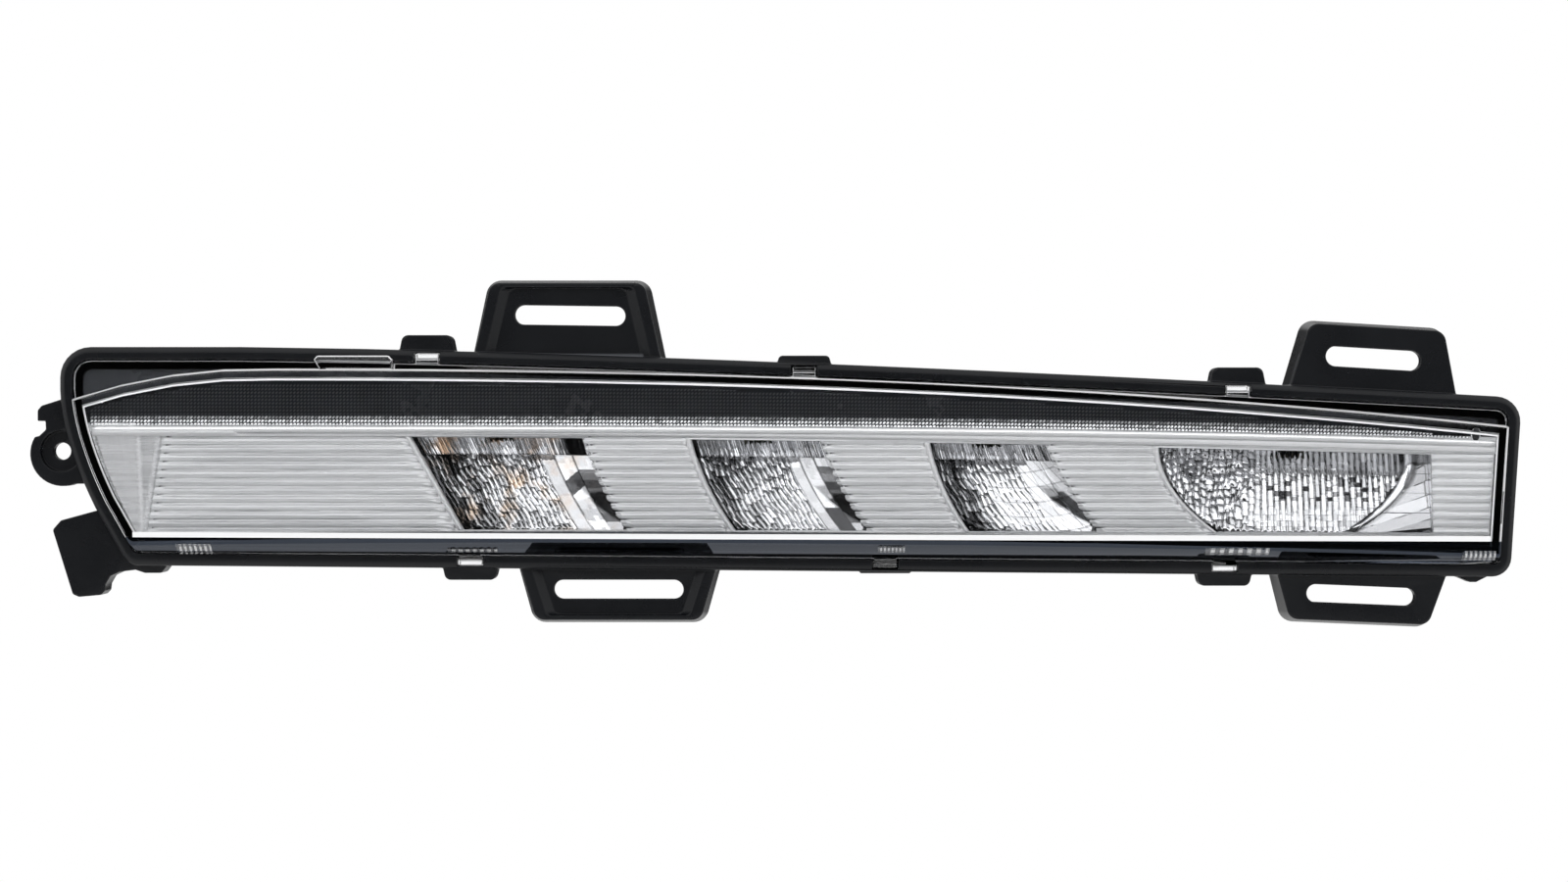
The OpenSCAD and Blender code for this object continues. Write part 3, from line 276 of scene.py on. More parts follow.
def soft_copy(node, name, rounds, flat=None, cuts=(), shade=None):
    """Copy of a solid's mesh with rounded edges: each round is a width, its segments and a depth.

    flat(face) picks a slope to merge first, each cut is a point and a normal of a plane, and shade(face)
    may give a face a tone at the end.
    """
    bm = bmesh.new()
    bm.from_mesh(nodes[node].data)
    bmesh.ops.remove_doubles(bm, verts=bm.verts, dist=2e-6)
    layer = bm.faces.layers.float.new("tone")
    if flat:
        merge_flat(bm, flat)
    for width, segments, depth in rounds:
        round_edges(bm, layer, width, segments, depth)
    for point, normal in cuts:
        bmesh.ops.bisect_plane(bm, geom=bm.verts[:] + bm.edges[:] + bm.faces[:], dist=1e-7,
                               plane_co=Vector(point) * MM, plane_no=Vector(normal).normalized())
    if shade:
        bm.normal_update()
        for face in bm.faces:
            face[layer] = shade(face) or face[layer]
    obj = finish_object(name, bm, CREASE_ANGLE)
    obj.modifiers.new("flat faces", "WEIGHTED_NORMAL")
    return obj


print("edges over", SHARP_ANGLE, "degrees are rounded")

# %% [markdown]
# A finish is a small network of nodes. It could be drawn by hand in the Shader Editor, but a script is
# easier to read as plain sums, so a Value stands for one output of a node and can be added, subtracted and
# multiplied.

# %% Sums of nodes
class Value:
    """Output of a node that takes part in sums. Each sum adds one Math node."""

    def __init__(self, finish, socket):
        self.finish = finish
        self.socket = socket

    def sum(self, operation, first, second):
        return self.finish.add("ShaderNodeMath", {"operation": operation}, {0: first, 1: second})

    def __add__(self, other):
        return self.sum("ADD", self, other)

    def __mul__(self, other):
        return self.sum("MULTIPLY", self, other)

    def __sub__(self, other):
        return self.sum("SUBTRACT", self, other)

    def __rsub__(self, other):
        return self.sum("SUBTRACT", other, self)

    def between(self, low, high):
        """0 below low, 1 above high and even between them."""
        return self.finish.add("ShaderNodeMapRange", {"clamp": True},
                               {"Value": self, "From Min": low, "From Max": high})


def rgba(colour):
    """A colour with full opacity, or the Value that it already is."""
    return colour if isinstance(colour, Value) else tuple(colour) + (1.0,)


print("a plain grey is", rgba((0.5, 0.5, 0.5)))

# %% [markdown]
# A Finish is a material with one Principled shader that hands out Values. Its patterns are read in the
# coordinates of the object, in metres. Unwrapping the pieces would work too, but the lamp's textures follow
# its length and not its surface, so there is nothing to gain from it.

# %% Materials built from Values
class Finish:
    """A material with one Principled shader, built by adding nodes."""

    def __init__(self, name, **constants):
        self.name = name
        self.material = bpy.data.materials.new(name)
        self.material.use_nodes = True
        self.tree = self.material.node_tree
        self.tree.nodes.clear()
        self.shader = self.tree.nodes.new("ShaderNodeBsdfPrincipled")
        self.surface = self.tree.nodes.new("ShaderNodeOutputMaterial").inputs["Surface"]
        self.tree.links.new(self.shader.outputs["BSDF"], self.surface)
        for socket, value in constants.items():
            self.shader.inputs[socket.replace("_", " ")].default_value = value
        self.place = self.add("ShaderNodeTexCoord", out="Object")

    def add(self, kind, settings=None, inputs=None, out=0):
        """Adds a node: its settings first, then a value or a link for each socket named."""
        node = self.tree.nodes.new(kind)
        for key, value in (settings or {}).items():
            setattr(node, key, value)
        for key, value in (inputs or {}).items():
            self.feed(node.inputs[key], value)
        return Value(self, node.outputs[out])

    def feed(self, socket, value):
        """Links a Value to a socket, or sets the socket to a plain number or colour."""
        if isinstance(value, Value):
            self.tree.links.new(value.socket, socket)
        else:
            socket.default_value = value

    def set(self, socket, value):
        """Feeds a socket of the shader."""
        self.feed(self.shader.inputs[socket], value)

    def noise(self, scale, detail=2.0, stretch=(1.0, 1.0, 1.0)):
        """Noise with grains of about 1/scale metres, drawn out along an axis by a small stretch."""
        where = self.add("ShaderNodeMapping", inputs={"Vector": self.place, "Scale": stretch})
        return self.add("ShaderNodeTexNoise", inputs={"Vector": where, "Scale": scale, "Detail": detail})

    def axis(self, name):
        """Place along one axis, in metres."""
        return self.add("ShaderNodeSeparateXYZ", inputs={"Vector": self.place}, out=name)

    def tone(self):
        """Attribute that a piece carries to change its finish from point to point."""
        return self.add("ShaderNodeAttribute", {"attribute_name": "tone"}, out="Fac")

    def blend(self, first, second, factor):
        """Mix of two colours."""
        return self.add("ShaderNodeMix", {"data_type": "RGBA"},
                        {"Factor": factor, "A": rgba(first), "B": rgba(second)}, "Result")

    def bump(self, height, depth, strength=0.5):
        """Feeds a relief of a depth in metres to the normal."""
        inputs = {"Height": height, "Distance": depth, "Strength": strength}
        self.set("Normal", self.add("ShaderNodeBump", inputs=inputs, out="Normal"))

    def show_instead(self, other, factor):
        """Shows another shader in place of the Principled one where the factor is 1."""
        choice = self.tree.nodes.new("ShaderNodeMixShader")
        self.feed(choice.inputs[0], factor)
        self.tree.links.new(self.shader.outputs["BSDF"], choice.inputs[1])
        self.feed(choice.inputs[2], other)
        self.tree.links.new(choice.outputs["Shader"], self.surface)


FINISHES = {}


def keep(finish):
    """Keeps the material of a finish under its name."""
    FINISHES[finish.name] = finish.material
    print(finish.name, len(finish.tree.nodes), "nodes")


# %% [markdown]
# Most finishes are plain: black moulded plastic with a fine grain, zinc plated screws, a brushed heat sink.
# A single colour would be enough for pieces that hardly show, but two close colours with uneven gloss and a
# grain keep them from looking like paint on a computer. A stretched grain gives the brushed lines.

# %% Finishes of the plain pieces
GRAIN_SCALE = 900.0
GRAIN_DEPTH = 0.00004
METAL = {"Metallic": 1.0}


def grain(name, low, high, rough, stretch=(1.0, 1.0, 1.0), **constants):
    """A plain moulded or cast finish between two colours and two amounts of roughness."""
    finish = Finish(name, **constants)
    clouds = finish.noise(GRAIN_SCALE / 12, 3.0, stretch)
    finish.set("Base Color", finish.blend(low, high, clouds))
    finish.set("Roughness", clouds * (rough[1] - rough[0]) + rough[0])
    finish.bump(finish.noise(GRAIN_SCALE, 2.0, stretch), GRAIN_DEPTH)
    keep(finish)


grain("sealing_bead", (0.01, 0.01, 0.01), (0.02, 0.02, 0.02), (0.6, 0.8))
grain("board_green", (0.01, 0.09, 0.03), (0.02, 0.13, 0.05), (0.35, 0.5))
grain("led_body", (0.5, 0.46, 0.34), (0.6, 0.56, 0.42), (0.3, 0.5))
grain("heat_sink_metal", (0.5, 0.51, 0.53), (0.62, 0.63, 0.65), (0.35, 0.5), (0.05, 1.0, 1.0), **METAL)
grain("gasket_rubber", (0.015, 0.015, 0.016), (0.03, 0.03, 0.03), (0.7, 0.85))
grain("coil_brown", (0.16, 0.06, 0.02), (0.26, 0.1, 0.04), (0.3, 0.5))
grain("parts_black", (0.02, 0.02, 0.022), (0.035, 0.035, 0.04), (0.4, 0.6))
grain("jumper_white", (0.68, 0.68, 0.65), (0.76, 0.76, 0.74), (0.4, 0.55))
grain("socket_black", (0.012, 0.012, 0.013), (0.02, 0.02, 0.022), (0.4, 0.5))
grain("pin_brass", (0.68, 0.5, 0.2), (0.8, 0.62, 0.3), (0.2, 0.35), **METAL)
grain("seal_orange", (0.6, 0.13, 0.03), (0.7, 0.2, 0.05), (0.5, 0.65))
grain("cap_rubber", (0.015, 0.015, 0.015), (0.028, 0.028, 0.028), (0.6, 0.75))
grain("screw_steel", (0.5, 0.51, 0.54), (0.62, 0.62, 0.64), (0.25, 0.4), **METAL)

# %% [markdown]
# The housing is black moulded plastic with a fine grain. The ledge under the lens, seen in the upper left
# corner, has a paler satin texture. It could be a piece of its own, but it is one moulding with the rest,
# so a mask picks it by its depth, its distance from the left end and its height, all in metres.

# %% Finish of the housing
black = Finish("housing_black", Specular_IOR_Level=0.25)
clouds = black.noise(70.0, 3.0)
depth_y = black.axis("Y")
height = black.axis("Z")
from_end = black.axis("X") + height * 0.4
ledge = depth_y.between(-0.0024, -0.0022) * (1 - depth_y.between(-0.0018, -0.0016))
ledge = ledge * from_end.between(0.0085, 0.0095) * (1 - height.between(0.0245, 0.025))
ledge = ledge * height.between(0.006, 0.009)
moulded = black.blend((0.0035, 0.004, 0.005), (0.007, 0.0078, 0.0095), clouds)
black.set("Base Color", black.blend(moulded, (0.07, 0.074, 0.082), ledge))
black.set("Roughness", clouds * 0.12 + 0.22)
black.bump(black.noise(1100.0, 2.0), 0.00003)
keep(black)

# %% [markdown]
# The bezel is plastic under a thin satin metal layer. Full metal would be the plain way, but its flat parts
# would go dark wherever nothing bright stands in front of them. So it is a quarter metal, with faint lines
# along the lamp from the tool. A tone from 0 to 1 paints a highlight, paler and less metal, from 1 to 2
# turns it into a mirror, and below 0 it paints shade, as in the grooves between the ribs.

# %% Finish of the bezel
satin = Finish("bezel_satin")
lines = satin.noise(1300.0, 2.0, (0.02, 1.0, 1.0))
streaks = satin.noise(300.0, 2.0, (0.06, 1.0, 1.0))
satin_tone = satin.tone()
# A tone from 0 to 1 is a painted highlight, below 0 it is painted shade
painted_highlight = satin_tone.between(0.0, 1.0)
wear = streaks * 0.5 + lines * 0.5
grey = satin.blend((0.60, 0.605, 0.615), (0.98, 0.985, 0.99), wear.between(0.25, 0.75))
light_grey = satin.blend(grey, (0.97, 0.97, 0.975), painted_highlight)
satin.set("Base Color", satin.blend(light_grey, (0.01, 0.01, 0.011), satin_tone.between(0.0, -1.0)))
satin.set("Metallic", 0.25 - painted_highlight * 0.2 + satin_tone.between(1.0, 2.0) * 0.75)
satin.set("Roughness", lines * 0.14 + 0.2)
satin.bump(lines, 0.00008, 0.4)
keep(satin)

# %% [markdown]
# The pockets carry the same layer polished bright. In a real one each small facet mirrors another part of
# the street, which a plain studio can't offer, so a tone from 0 to 1 darkens a facet instead, as a painted
# dark reflection. The finish adds a slight unevenness, and a painted warm reflection at the left, where the
# first pocket mirrors its emitter.

# %% Finish of the pockets
chrome = Finish("reflector_bright", Metallic=1.0)
film = chrome.noise(240.0, 3.0)
patches = chrome.noise(190.0, 2.0)
near_left = 1 - chrome.axis("X").between(0.112, 0.15)
emitter_reflection = patches.between(0.5, 0.7) * near_left * 0.6
silver = chrome.blend((0.80, 0.81, 0.83), (0.9, 0.9, 0.91), film)
silver_with_reflection = chrome.blend(silver, (0.78, 0.5, 0.26), emitter_reflection)
# The tone paints dark reflections and shade onto the silver
chrome.set("Base Color", chrome.blend(silver_with_reflection, (0.004, 0.004, 0.005), chrome.tone() * 0.95 + 0.05))
chrome.set("Roughness", film * 0.08 + 0.03)
keep(chrome)

# %% [markdown]
# The trim above the bezel is glossy charcoal plastic with faint clouds. Its raised dots are real geometry,
# further down, and a tone from 0 to 1 paints a glint on the brightest of them, pale and partly metal.

# %% Finish of the trim
trim = Finish("trim_charcoal", Specular_IOR_Level=0.25)
haze = trim.noise(90.0, 3.0)
plain = trim.blend((0.010, 0.0115, 0.014), (0.018, 0.020, 0.024), haze)
trim.set("Base Color", trim.blend(plain, (0.85, 0.86, 0.87), trim.tone()))
trim.set("Roughness", haze * 0.12 + 0.2)
trim.set("Metallic", trim.tone().between(0.4, 1.0) * 0.8)
keep(trim)

# %% [markdown]
# The lens is clear moulded plastic with a polish that is never quite perfect. Full transmission bends the
# view at every step of its form, but a small studio leaves its edges dull. So the tone helps: up to 1 an
# edge shines like metal, a painted highlight, below 0 it paints shade, dark as at its foot, and at 2 it
# paints a pale rough line, the white line under the window. That pale line hides what is behind it, so it is
# a shader of its own.

# %% Finish of the lens
clear = Finish("lens_clear", IOR=1.49, Transmission_Weight=1.0)
clear_tone = clear.tone()
foot_shade = clear_tone.between(0.0, -1.0)
pale_lip_mask = clear_tone.between(1.4, 1.6)
shiny = clear_tone.between(0.0, 1.0)
# Below 0 the tone paints shade, and up to 1 a highlight like metal
clear.set("Base Color", clear.blend((0.985, 0.99, 1.0), (0.05, 0.06, 0.08), foot_shade))
clear.set("Roughness", clear.noise(40.0, 2.0).between(0.5, 0.9) * 0.015 + shiny * 0.4)
clear.set("Metallic", shiny * 0.8 + foot_shade * 0.85)
pale_lip_shader = clear.add("ShaderNodeBsdfPrincipled",
                    inputs={"Base Color": (0.8, 0.805, 0.81, 1.0), "Roughness": 0.35})
clear.show_instead(pale_lip_shader, pale_lip_mask)
keep(clear)

# %% [markdown]
# Every solid gets the finish that the record names for it. New pieces take theirs the same way, so one
# helper dresses a piece, fixes it to the lamp and hides the solid it replaces, if it replaces one.

# %% Dress the solids
slot_of = {part["node"]: part["material_slot"] for part in frame["record"]["subparts"]}


def dress(obj, node, replace=True):
    """Gives a new piece the finish of a solid, and lets it ride on the lamp."""
    obj.data.materials.clear()
    obj.data.materials.append(FINISHES[slot_of[node]])
    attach(obj, "root")
    if replace:
        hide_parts(node)


for node_name, solid in nodes.items():
    finish = FINISHES[slot_of[node_name]]
    if solid.data.materials:
        for index in range(len(solid.data.materials)):
            solid.data.materials[index] = finish
    else:
        solid.data.materials.append(finish)
print("dressed", len(nodes), "solids")

# %% [markdown]
# The housing is one black moulding with its rim, tabs, eye and shell. It could be built anew, but the solid
# already has every form, and only its edges are too sharp. It is the thin highlight on each rounded edge
# that makes black plastic readable.

# %% Housing
# A depth behind the whole lamp, so that every edge lies in front of it
ALL_DEPTHS = 99
dress(soft_copy("housing", "housing_soft", [(0.3, 2, ALL_DEPTHS)]), "housing")

# %% [markdown]
# The lens is a clear cap: a raised face, a flange and six hooks. The corners of its raised face are rounded
# more than the rest, because they catch the light in two bright lines. Under the window the photograph shows
# a straight white line with a dark band below it, on the slope of the glass. Separate sheets there would
# shine through each other, so two tilted planes cut the slope along the line and two upright ones end it.

# %% Lens
LIP_WIDTH = 1.35
LIP_PAST_BEZEL = 0.8
LIP_TOP = window_foot(RIM_START)
LIP_FOOT = window_foot(RIM_START) - LIP_WIDTH
LIP_LEFT = cover_left(-21)
LIP_RIGHT = cover_right(-22) + LIP_PAST_BEZEL
FOOT_NORMAL = (window_foot(RIM_START) - window_foot(RIM_END), 0.0, RIM_LENGTH)
LENS_CUTS = [((RIM_START, 0, LIP_TOP), FOOT_NORMAL), ((RIM_START, 0, LIP_FOOT), FOOT_NORMAL),
             ((LIP_LEFT, 0, 0), (1, 0, 0)), ((LIP_RIGHT, 0, 0), (1, 0, 0))]
# The outer slopes of the raised face lie between these two depths
SLOPE_FRONT = -14.2
SLOPE_BACK = -6.8
# Painted shade on the foot slope, and a pale line painted under the window
SHADED_FOOT = -1.0
PAINTED_PALE_LIP = 2.0


def foot_slope_face(face):
    """True for the faces of the outer slope under the window, which lie in one plane."""
    y = face.calc_center_median().y / MM
    return face.normal.z < -0.5 and face.normal.y < -0.2 and SLOPE_FRONT < y < SLOPE_BACK


def lens_shade(face):
    """Tone of the front of the lens: a painted pale lip under the window and painted shade on the foot below
    it.
    """
    x, y, z = face.calc_center_median() / MM
    if face.normal.y > -0.2 or not SLOPE_FRONT < y < SLOPE_BACK:
        return 0.0
    if z < window_foot(x) - LIP_WIDTH:
        return SHADED_FOOT
    return PAINTED_PALE_LIP if z < window_foot(x) and LIP_LEFT < x < LIP_RIGHT else 0.0


LENS_ROUNDS = [(0.6, 3, -6.6), (0.3, 2, ALL_DEPTHS)]
dress(soft_copy("lens", "lens_soft", LENS_ROUNDS, foot_slope_face, LENS_CUTS, lens_shade), "lens")

# %% [markdown]
# The ribs of the bezel are level half-round bars with finer lines on them. A bump could draw them, but the
# lamp is seen from all sides and a rib has to hide its neighbour. A land is the ribbed stretch between two
# pockets. Its grid has many rows and few columns, and each row takes its depth from its height, so the ribs
# stay level while the window tapers. At the right edge of a pocket the ribs end in a comb.

# %% Ribs
RIB_PITCH = 2.1
RIB_RISE = 0.34
RIB_LOW = -21.5
FINE_LINES = 3
FINE_DEPTH = 0.22
FINE_WIDTH = 0.07


def rib(z):
    """Height of the ribs at a height on the lamp, from 0 in a groove to 1 on a crest."""
    share = ((z - RIB_LOW) / RIB_PITCH) % 1.0
    number = math.floor((z - RIB_LOW) / RIB_PITCH)
    crest = math.sin(math.pi * share) ** 0.22
    for k in range(FINE_LINES):
        middle = 0.5 + 0.3 * chance(number, k)
        cut = FINE_DEPTH * (0.5 + 0.5 * chance(k, number))
        crest -= cut * max(0.0, 1 - abs(share - middle) / FINE_WIDTH)
    return crest


print("ribs", int((window_top(0) - window_foot(0)) / RIB_PITCH), "at the left end")

# %% [markdown]
# The lands are four sheets between the edges of the pockets. They could be one sheet with holes, but the
# border of a hole would then run in steps along the grid. A tone below 0 paints shade in the grooves and the
# gaps of the comb.

# %% Ribbed lands of the bezel
COMB_REACH = 1.1
COMB_WIDTH = 2.0


def ribs_start(t):
    """Left end of the ribs, on the first land."""
    return mix(27.3, 23.1, t)


def land_edges(i):
    """Edges of a land: the first starts at the comb near the left end, the last ends at pocket 4."""
    left = ribs_start if i == 0 else (lambda t: pocket_edge(i - 1, 1, t))
    return left, lambda t: pocket_edge(i, 0, t) - 1.2


def ribbed(left, right):
    """Place function of a land between two edges, with a comb of rib ends at its left."""
    def place(u, v):
        t = 1 - v
        start, end = left(t), right(t)
        x = mix(start, end, u ** 1.6)
        z = mix(window_top(x) + 0.2, window_foot(x) - 0.2, t)
        crest = rib(z)
        near = max(0.0, 1 - (x - start) / COMB_WIDTH)
        x -= COMB_REACH * max(0.0, crest) ** 2 * near
        y = BEZEL_PLATE_Y - 0.1 - RIB_RISE * crest + 0.5 * near ** 2
        line = 0.42 + 0.3 * chance(math.floor((z - RIB_LOW) / RIB_PITCH + 0.5), 5)
        # Painted shade in the grooves between the ribs and in the gaps of the comb
        groove = line * smooth(0.75, 0.2, crest) + 0.5 * (1 - crest) * (crest > 0.6)
        comb_gap_shade = smooth(0.9, 0.6, crest) * smooth(0.1, 0.6, near)
        return x, y, z, -max(groove, comb_gap_shade)
    return place


for i in range(4):
    dress(sheet(f"bezel_land_{i + 1}", 26, 200, ribbed(*land_edges(i)), 1.2), "bezel", False)

# %% [markdown]
# Left of the ribs the bezel is two smooth facets that meet in a soft crease, with a thin bright edge at the
# very end. Two flat faces would look dead here, so one sheet takes both and eases every change of depth. Its
# tone holds faint upright streaks, a painted highlight on the crease, and painted shade on the second facet
# and just before the ribs.

# %% Smooth facets at the left end
BELOW_WINDOW = 1.2
FACET_BACK_Y, FACET_FRONT_Y = -5.1, -6.1


def facet_place(u, v):
    t = 1 - v
    z = mix(bezel_top(30), window_foot(20) - BELOW_WINDOW, t)
    start = cover_left(z) + 0.3
    crease = mix(20.2, 21.4, t)
    ribs = ribs_start(t) - 0.6
    x = mix(start, crease, u * 2) if u < 0.5 else mix(crease, ribs + 0.9, u * 2 - 1)
    y = mix(FACET_BACK_Y, FACET_FRONT_Y, smooth(start, start + 0.7, x))
    y += 0.55 * smooth(crease - 0.9, crease + 0.9, x)
    y += 0.5 * smooth(ribs - 1.6, ribs - 0.1, x)
    streak = 0.07 * chance(math.floor(u * 60)) + 0.03 * chance(math.floor(u * 60), math.floor(t * 9))
    # Painted shade on the second facet, a painted highlight on the crease and painted shade just before the
    # ribs
    second_facet_shade = -0.13 * smooth(crease + 0.2, crease + 1.0, x) * smooth(ribs + 0.9, ribs - 0.3, x)
    crease_highlight_and_rib_shade = 0.5 * max(0.0, 1 - abs(x - crease) / 0.5) - 0.3 * max(0.0, 1 - abs(x - ribs) / 0.4)
    return x, y, z, 0.3 + streak + 2 * second_facet_shade + crease_highlight_and_rib_shade


dress(sheet("bezel_facets", 60, 40, facet_place, 1.2), "bezel", False)

# %% [markdown]
# Right of the last pocket the ribs fade out over a light panel. A second material could do the fading, but
# the real one is plain form: the same level ribs, with a height that falls to nothing half way along.

# %% Fading ribs at the right end
def panel_place(u, v):
    t = 1 - v
    z = mix(window_top(355) + 0.2, window_foot(355) - 0.2, t)
    start = pocket_edge(3, 1, t)
    end = cover_right(z) - 0.3
    fade = 1 - smooth(0.0, 0.5, u)
    y = BEZEL_PLATE_Y - 0.1 - 0.7 * RIB_RISE * rib(z) * fade
    y += 0.5 * (1 - smooth(0.0, 0.06, u)) + 0.5 * smooth(0.96, 1.0, u)
    return mix(start, end, u), y, z


dress(sheet("bezel_panel", 24, 200, panel_place, 1.0), "bezel", False)

# %% [markdown]
# A rounded band runs over the window, a slope leads from it down to the ribs, and a thinner lip runs under
# the window. Each is an arc that is drawn from one end of the lamp to the other. A curve with a bevel would
# do it too, but a sheet lets the tone paint a pale highlight on each strip, mirror the upper part and paint
# shade on the step above the ribs.

# %% Band, slope and lip
STRIP_COLUMNS = 220
STRIP_ROWS = 14


def strip(name, low, high, front, back, ends, power=0.6, line=0.0, gloss=1.0):
    """Rounded strip along the lamp between two lines.

    A line above 0 paints shade on its lower edge, and above the share called gloss it mirrors the surround.
    """
    def place(u, v):
        x = mix(ends[0], ends[1], u)
        bulge = math.sin(math.pi * v) ** power if 0 < v < 1 else 0.0
        # A tone of 1 paints the strip pale as a highlight, and a line paints shade at its lower edge
        tone = 1.0 + (v > gloss) - line * smooth(0.2, 0.05, v)
        return x, mix(back, front, bulge), mix(low(x), high(x), v), tone
    dress(sheet(name, STRIP_COLUMNS, STRIP_ROWS, place, 0.8), "bezel", False)


strip("bezel_band", lambda x: bezel_top(x) - 2.4, lambda x: bezel_top(x) - 0.8, -6.7, -6.1,
      (cover_left(5.5) + 0.2, cover_right(2.5)), gloss=0.5)
strip("bezel_slope", lambda x: window_top(x) + 0.15, lambda x: bezel_top(x) - 2.5, -6.2, -5.6,
      (cover_left(4.5) + 0.2, cover_right(1.5)), power=0.3, line=1.6)
strip("bezel_lip", lambda x: window_foot(x) - LIP_WIDTH, lambda x: window_foot(x) + 0.1, -6.45, -5.6,
      (cover_left(-21) + 0.3, cover_right(-22)), power=0.5, gloss=0.8)

# %% [markdown]
# Each pocket has a thick rounded rim along its left edge, where the bezel rolls into the bowl. It is an arc
# again, but an upright one that follows the lean and the bow of the pocket's edge.

# %% Rims of the pockets
ROLL_START = 1.25
ROLL_WIDTH = 1.7
ROLL_FRONT_Y = -5.95


def pocket_rim(i):
    """Place function of the rim of a pocket."""
    def place(u, v):
        t = 1 - v
        x = pocket_edge(i, 0, t)
        bulge = math.sin(math.pi * min(1.0, max(0.0, u))) ** 0.7
        y = mix(BEZEL_PLATE_Y + 0.3 * u, ROLL_FRONT_Y, bulge) + 1.2 * smooth(0.8, 1.0, u)
        # A tone of 1 paints the rolled rim pale, a highlight
        return x - ROLL_START + ROLL_WIDTH * u, y, pocket_z(x, t), 1.0
    return place


for i in range(4):
    dress(sheet(f"pocket_rim_{i + 1}", 16, 90, pocket_rim(i), 0.8), "bezel", False)

# %% [markdown]
# A bowl is a quarter ellipse from a deep roof, where its light sits, to the bezel at its foot, and three
# flat facets step forward along its right side. A real one is computed from its light. Here the smooth
# depth comes from one function and the facets from a table, which is enough for the eye.

# %% Depth of a bowl
BOWL_DEPTH = 10.0
# Start and width of each flat facet as shares of the bowl, and its reach at its left and right edge
FACETS = [(0.68, 0.09, 0.93, 0.86), (0.77, 0.11, 0.80, 0.56), (0.88, 0.12, 0.50, 0.26)]
FACET_STARTS = [facet[0] for facet in FACETS]


def bowl_depth(s, t):
    """Depth of the smooth bowl behind the bezel, in millimetres, without its flutes."""
    reach = 1.0
    for start, width, left_reach, right_reach in FACETS:
        if s >= start:
            reach = mix(left_reach, right_reach, (s - start) / width)
    side = mix(0.1, reach, smooth(-0.05, 0.26, s))
    return BOWL_DEPTH * side * (1 - t) ** 0.8


print("depth at the roof", round(bowl_depth(0.5, 0.0), 1), "mm")

# %% [markdown]
# Slanted flutes break the bowl up, and each flute is cut into short cells with a small tilt of its own. That
# gives the crumpled sparkle of the real thing. A noise texture would make it cloudy, because its cells have
# no borders. The tone of a cell is a painted reflection of the dark in front of the lamp, with painted shade
# in the grooves at its borders.

# %% Cells of the flutes
def crumple(i, across, down):
    """Relief of one cell of a flute, from its own tilt both ways."""
    column, row = math.floor(across), math.floor(down)
    share, drop = across - column, down - row
    bar = 0.42 * math.sin(math.pi * share) ** 0.8
    tilt = 0.34 * chance(column, row, i) * (share - 0.5) + 0.5 * chance(row, column, i + 9) * (drop - 0.5)
    return bar + tilt * math.sin(math.pi * share) ** 0.4 + 0.16 * math.sin(math.pi * drop)


def cell_tone(i, across, down):
    """Painted dark reflection of one cell, with painted shade lines at its left and upper border."""
    column, row = math.floor(across), math.floor(down)
    share, drop = across - column, down - row
    tone = 0.26 + 0.3 * chance(column, row, i + 3)
    tone += 0.75 * (0.5 + 0.5 * chance(row, column, i)) * smooth(0.3, 0.1, share)
    tone += 0.5 * (0.5 + 0.5 * chance(column, i, row)) * smooth(0.22, 0.05, drop)
    return min(0.96, max(0.0, tone))


print("tones of four cells", [round(cell_tone(0, k + 0.5, 0.5), 2) for k in range(4)])

# %% [markdown]
# The flat facets differ from pocket to pocket: the first pocket has a dark block half way down, the others
# have theirs at the foot, and the last facet is dark below a bright top. Over the third pocket broad light
# facets fan out. Both are painted reflections in the tone only, with painted shade at the seams, because
# their relief is too shallow to show.

# %% Tones of the facets and the fan
SEAM_WIDTH = 0.012


def strip_tone(i, s, t):
    """Painted dark reflections of the flat facets at the right of a bowl, with painted shade at their seams.
    """
    part = math.floor(t * 8 + 0.5 * chance(math.floor(s * 40), i))
    seam_shade = 0.45 * max(0.0, 1 - min(abs(s - start) for start in FACET_STARTS) / SEAM_WIDTH)
    if s < FACET_STARTS[1]:
        return 0.36 + 0.14 * chance(part, i) + seam_shade
    if s < FACET_STARTS[2]:
        block = 0.42 < t + 1.1 * (s - 0.82) < 0.58 if i == 0 else t > 0.74
        return 0.93 if block else 0.34 + 0.2 * chance(part, 4, i) + seam_shade
    bright_top = 0.34 if i == 0 else 0.28
    if t < bright_top:
        return 0.25 + 0.2 * chance(part, 8, i) + seam_shade
    return 0.74 + 0.24 * chance(math.floor(t * 11), 2)


def fan_tone(s, t):
    """Painted reflection of the light facets that fan out over the third pocket, with painted seam shade."""
    across, down = (s - 0.3 * t) * 13, (t + 0.5 * (s - 0.55) ** 2) * 6
    column, row = math.floor(across), math.floor(down)
    seam_shade = 0.4 * smooth(0.14, 0.03, across - column) + 0.3 * smooth(0.14, 0.03, down - row)
    shade = 0.45 if 0.8 < s < 0.9 and 0.5 < t < 0.72 else 0.22 + 0.12 * chance(column, row)
    return min(0.9, shade + seam_shade)


print("facets start at", FACET_STARTS)

# %% [markdown]
# With these the first three bowls are put together. Each also has a ledge along its top with fine teeth, and
# a painted shade line down its left edge, where the rim stands before it. One function gives the painted
# tone and another the place, and the number of the pocket picks the differences.

# %% Bowls of the first three pockets
LEDGE = 0.19
FAN_START = 0.34
FLUTE = 1.4
LEFT_SHADE = (0.35, 0.3, 0.55)


def ledge_tone(i, s, t, across):
    """Painted dark reflection of the ledge at the top of a bowl, with painted shade along its foot and a
    black patch in the first pocket.
    """
    if i == 0 and 0.86 < s < 0.97:
        return 0.98
    return 0.3 + 0.3 * chance(math.floor(across * 2.2), i) + 0.35 * smooth(LEDGE - 0.03, LEDGE, t)


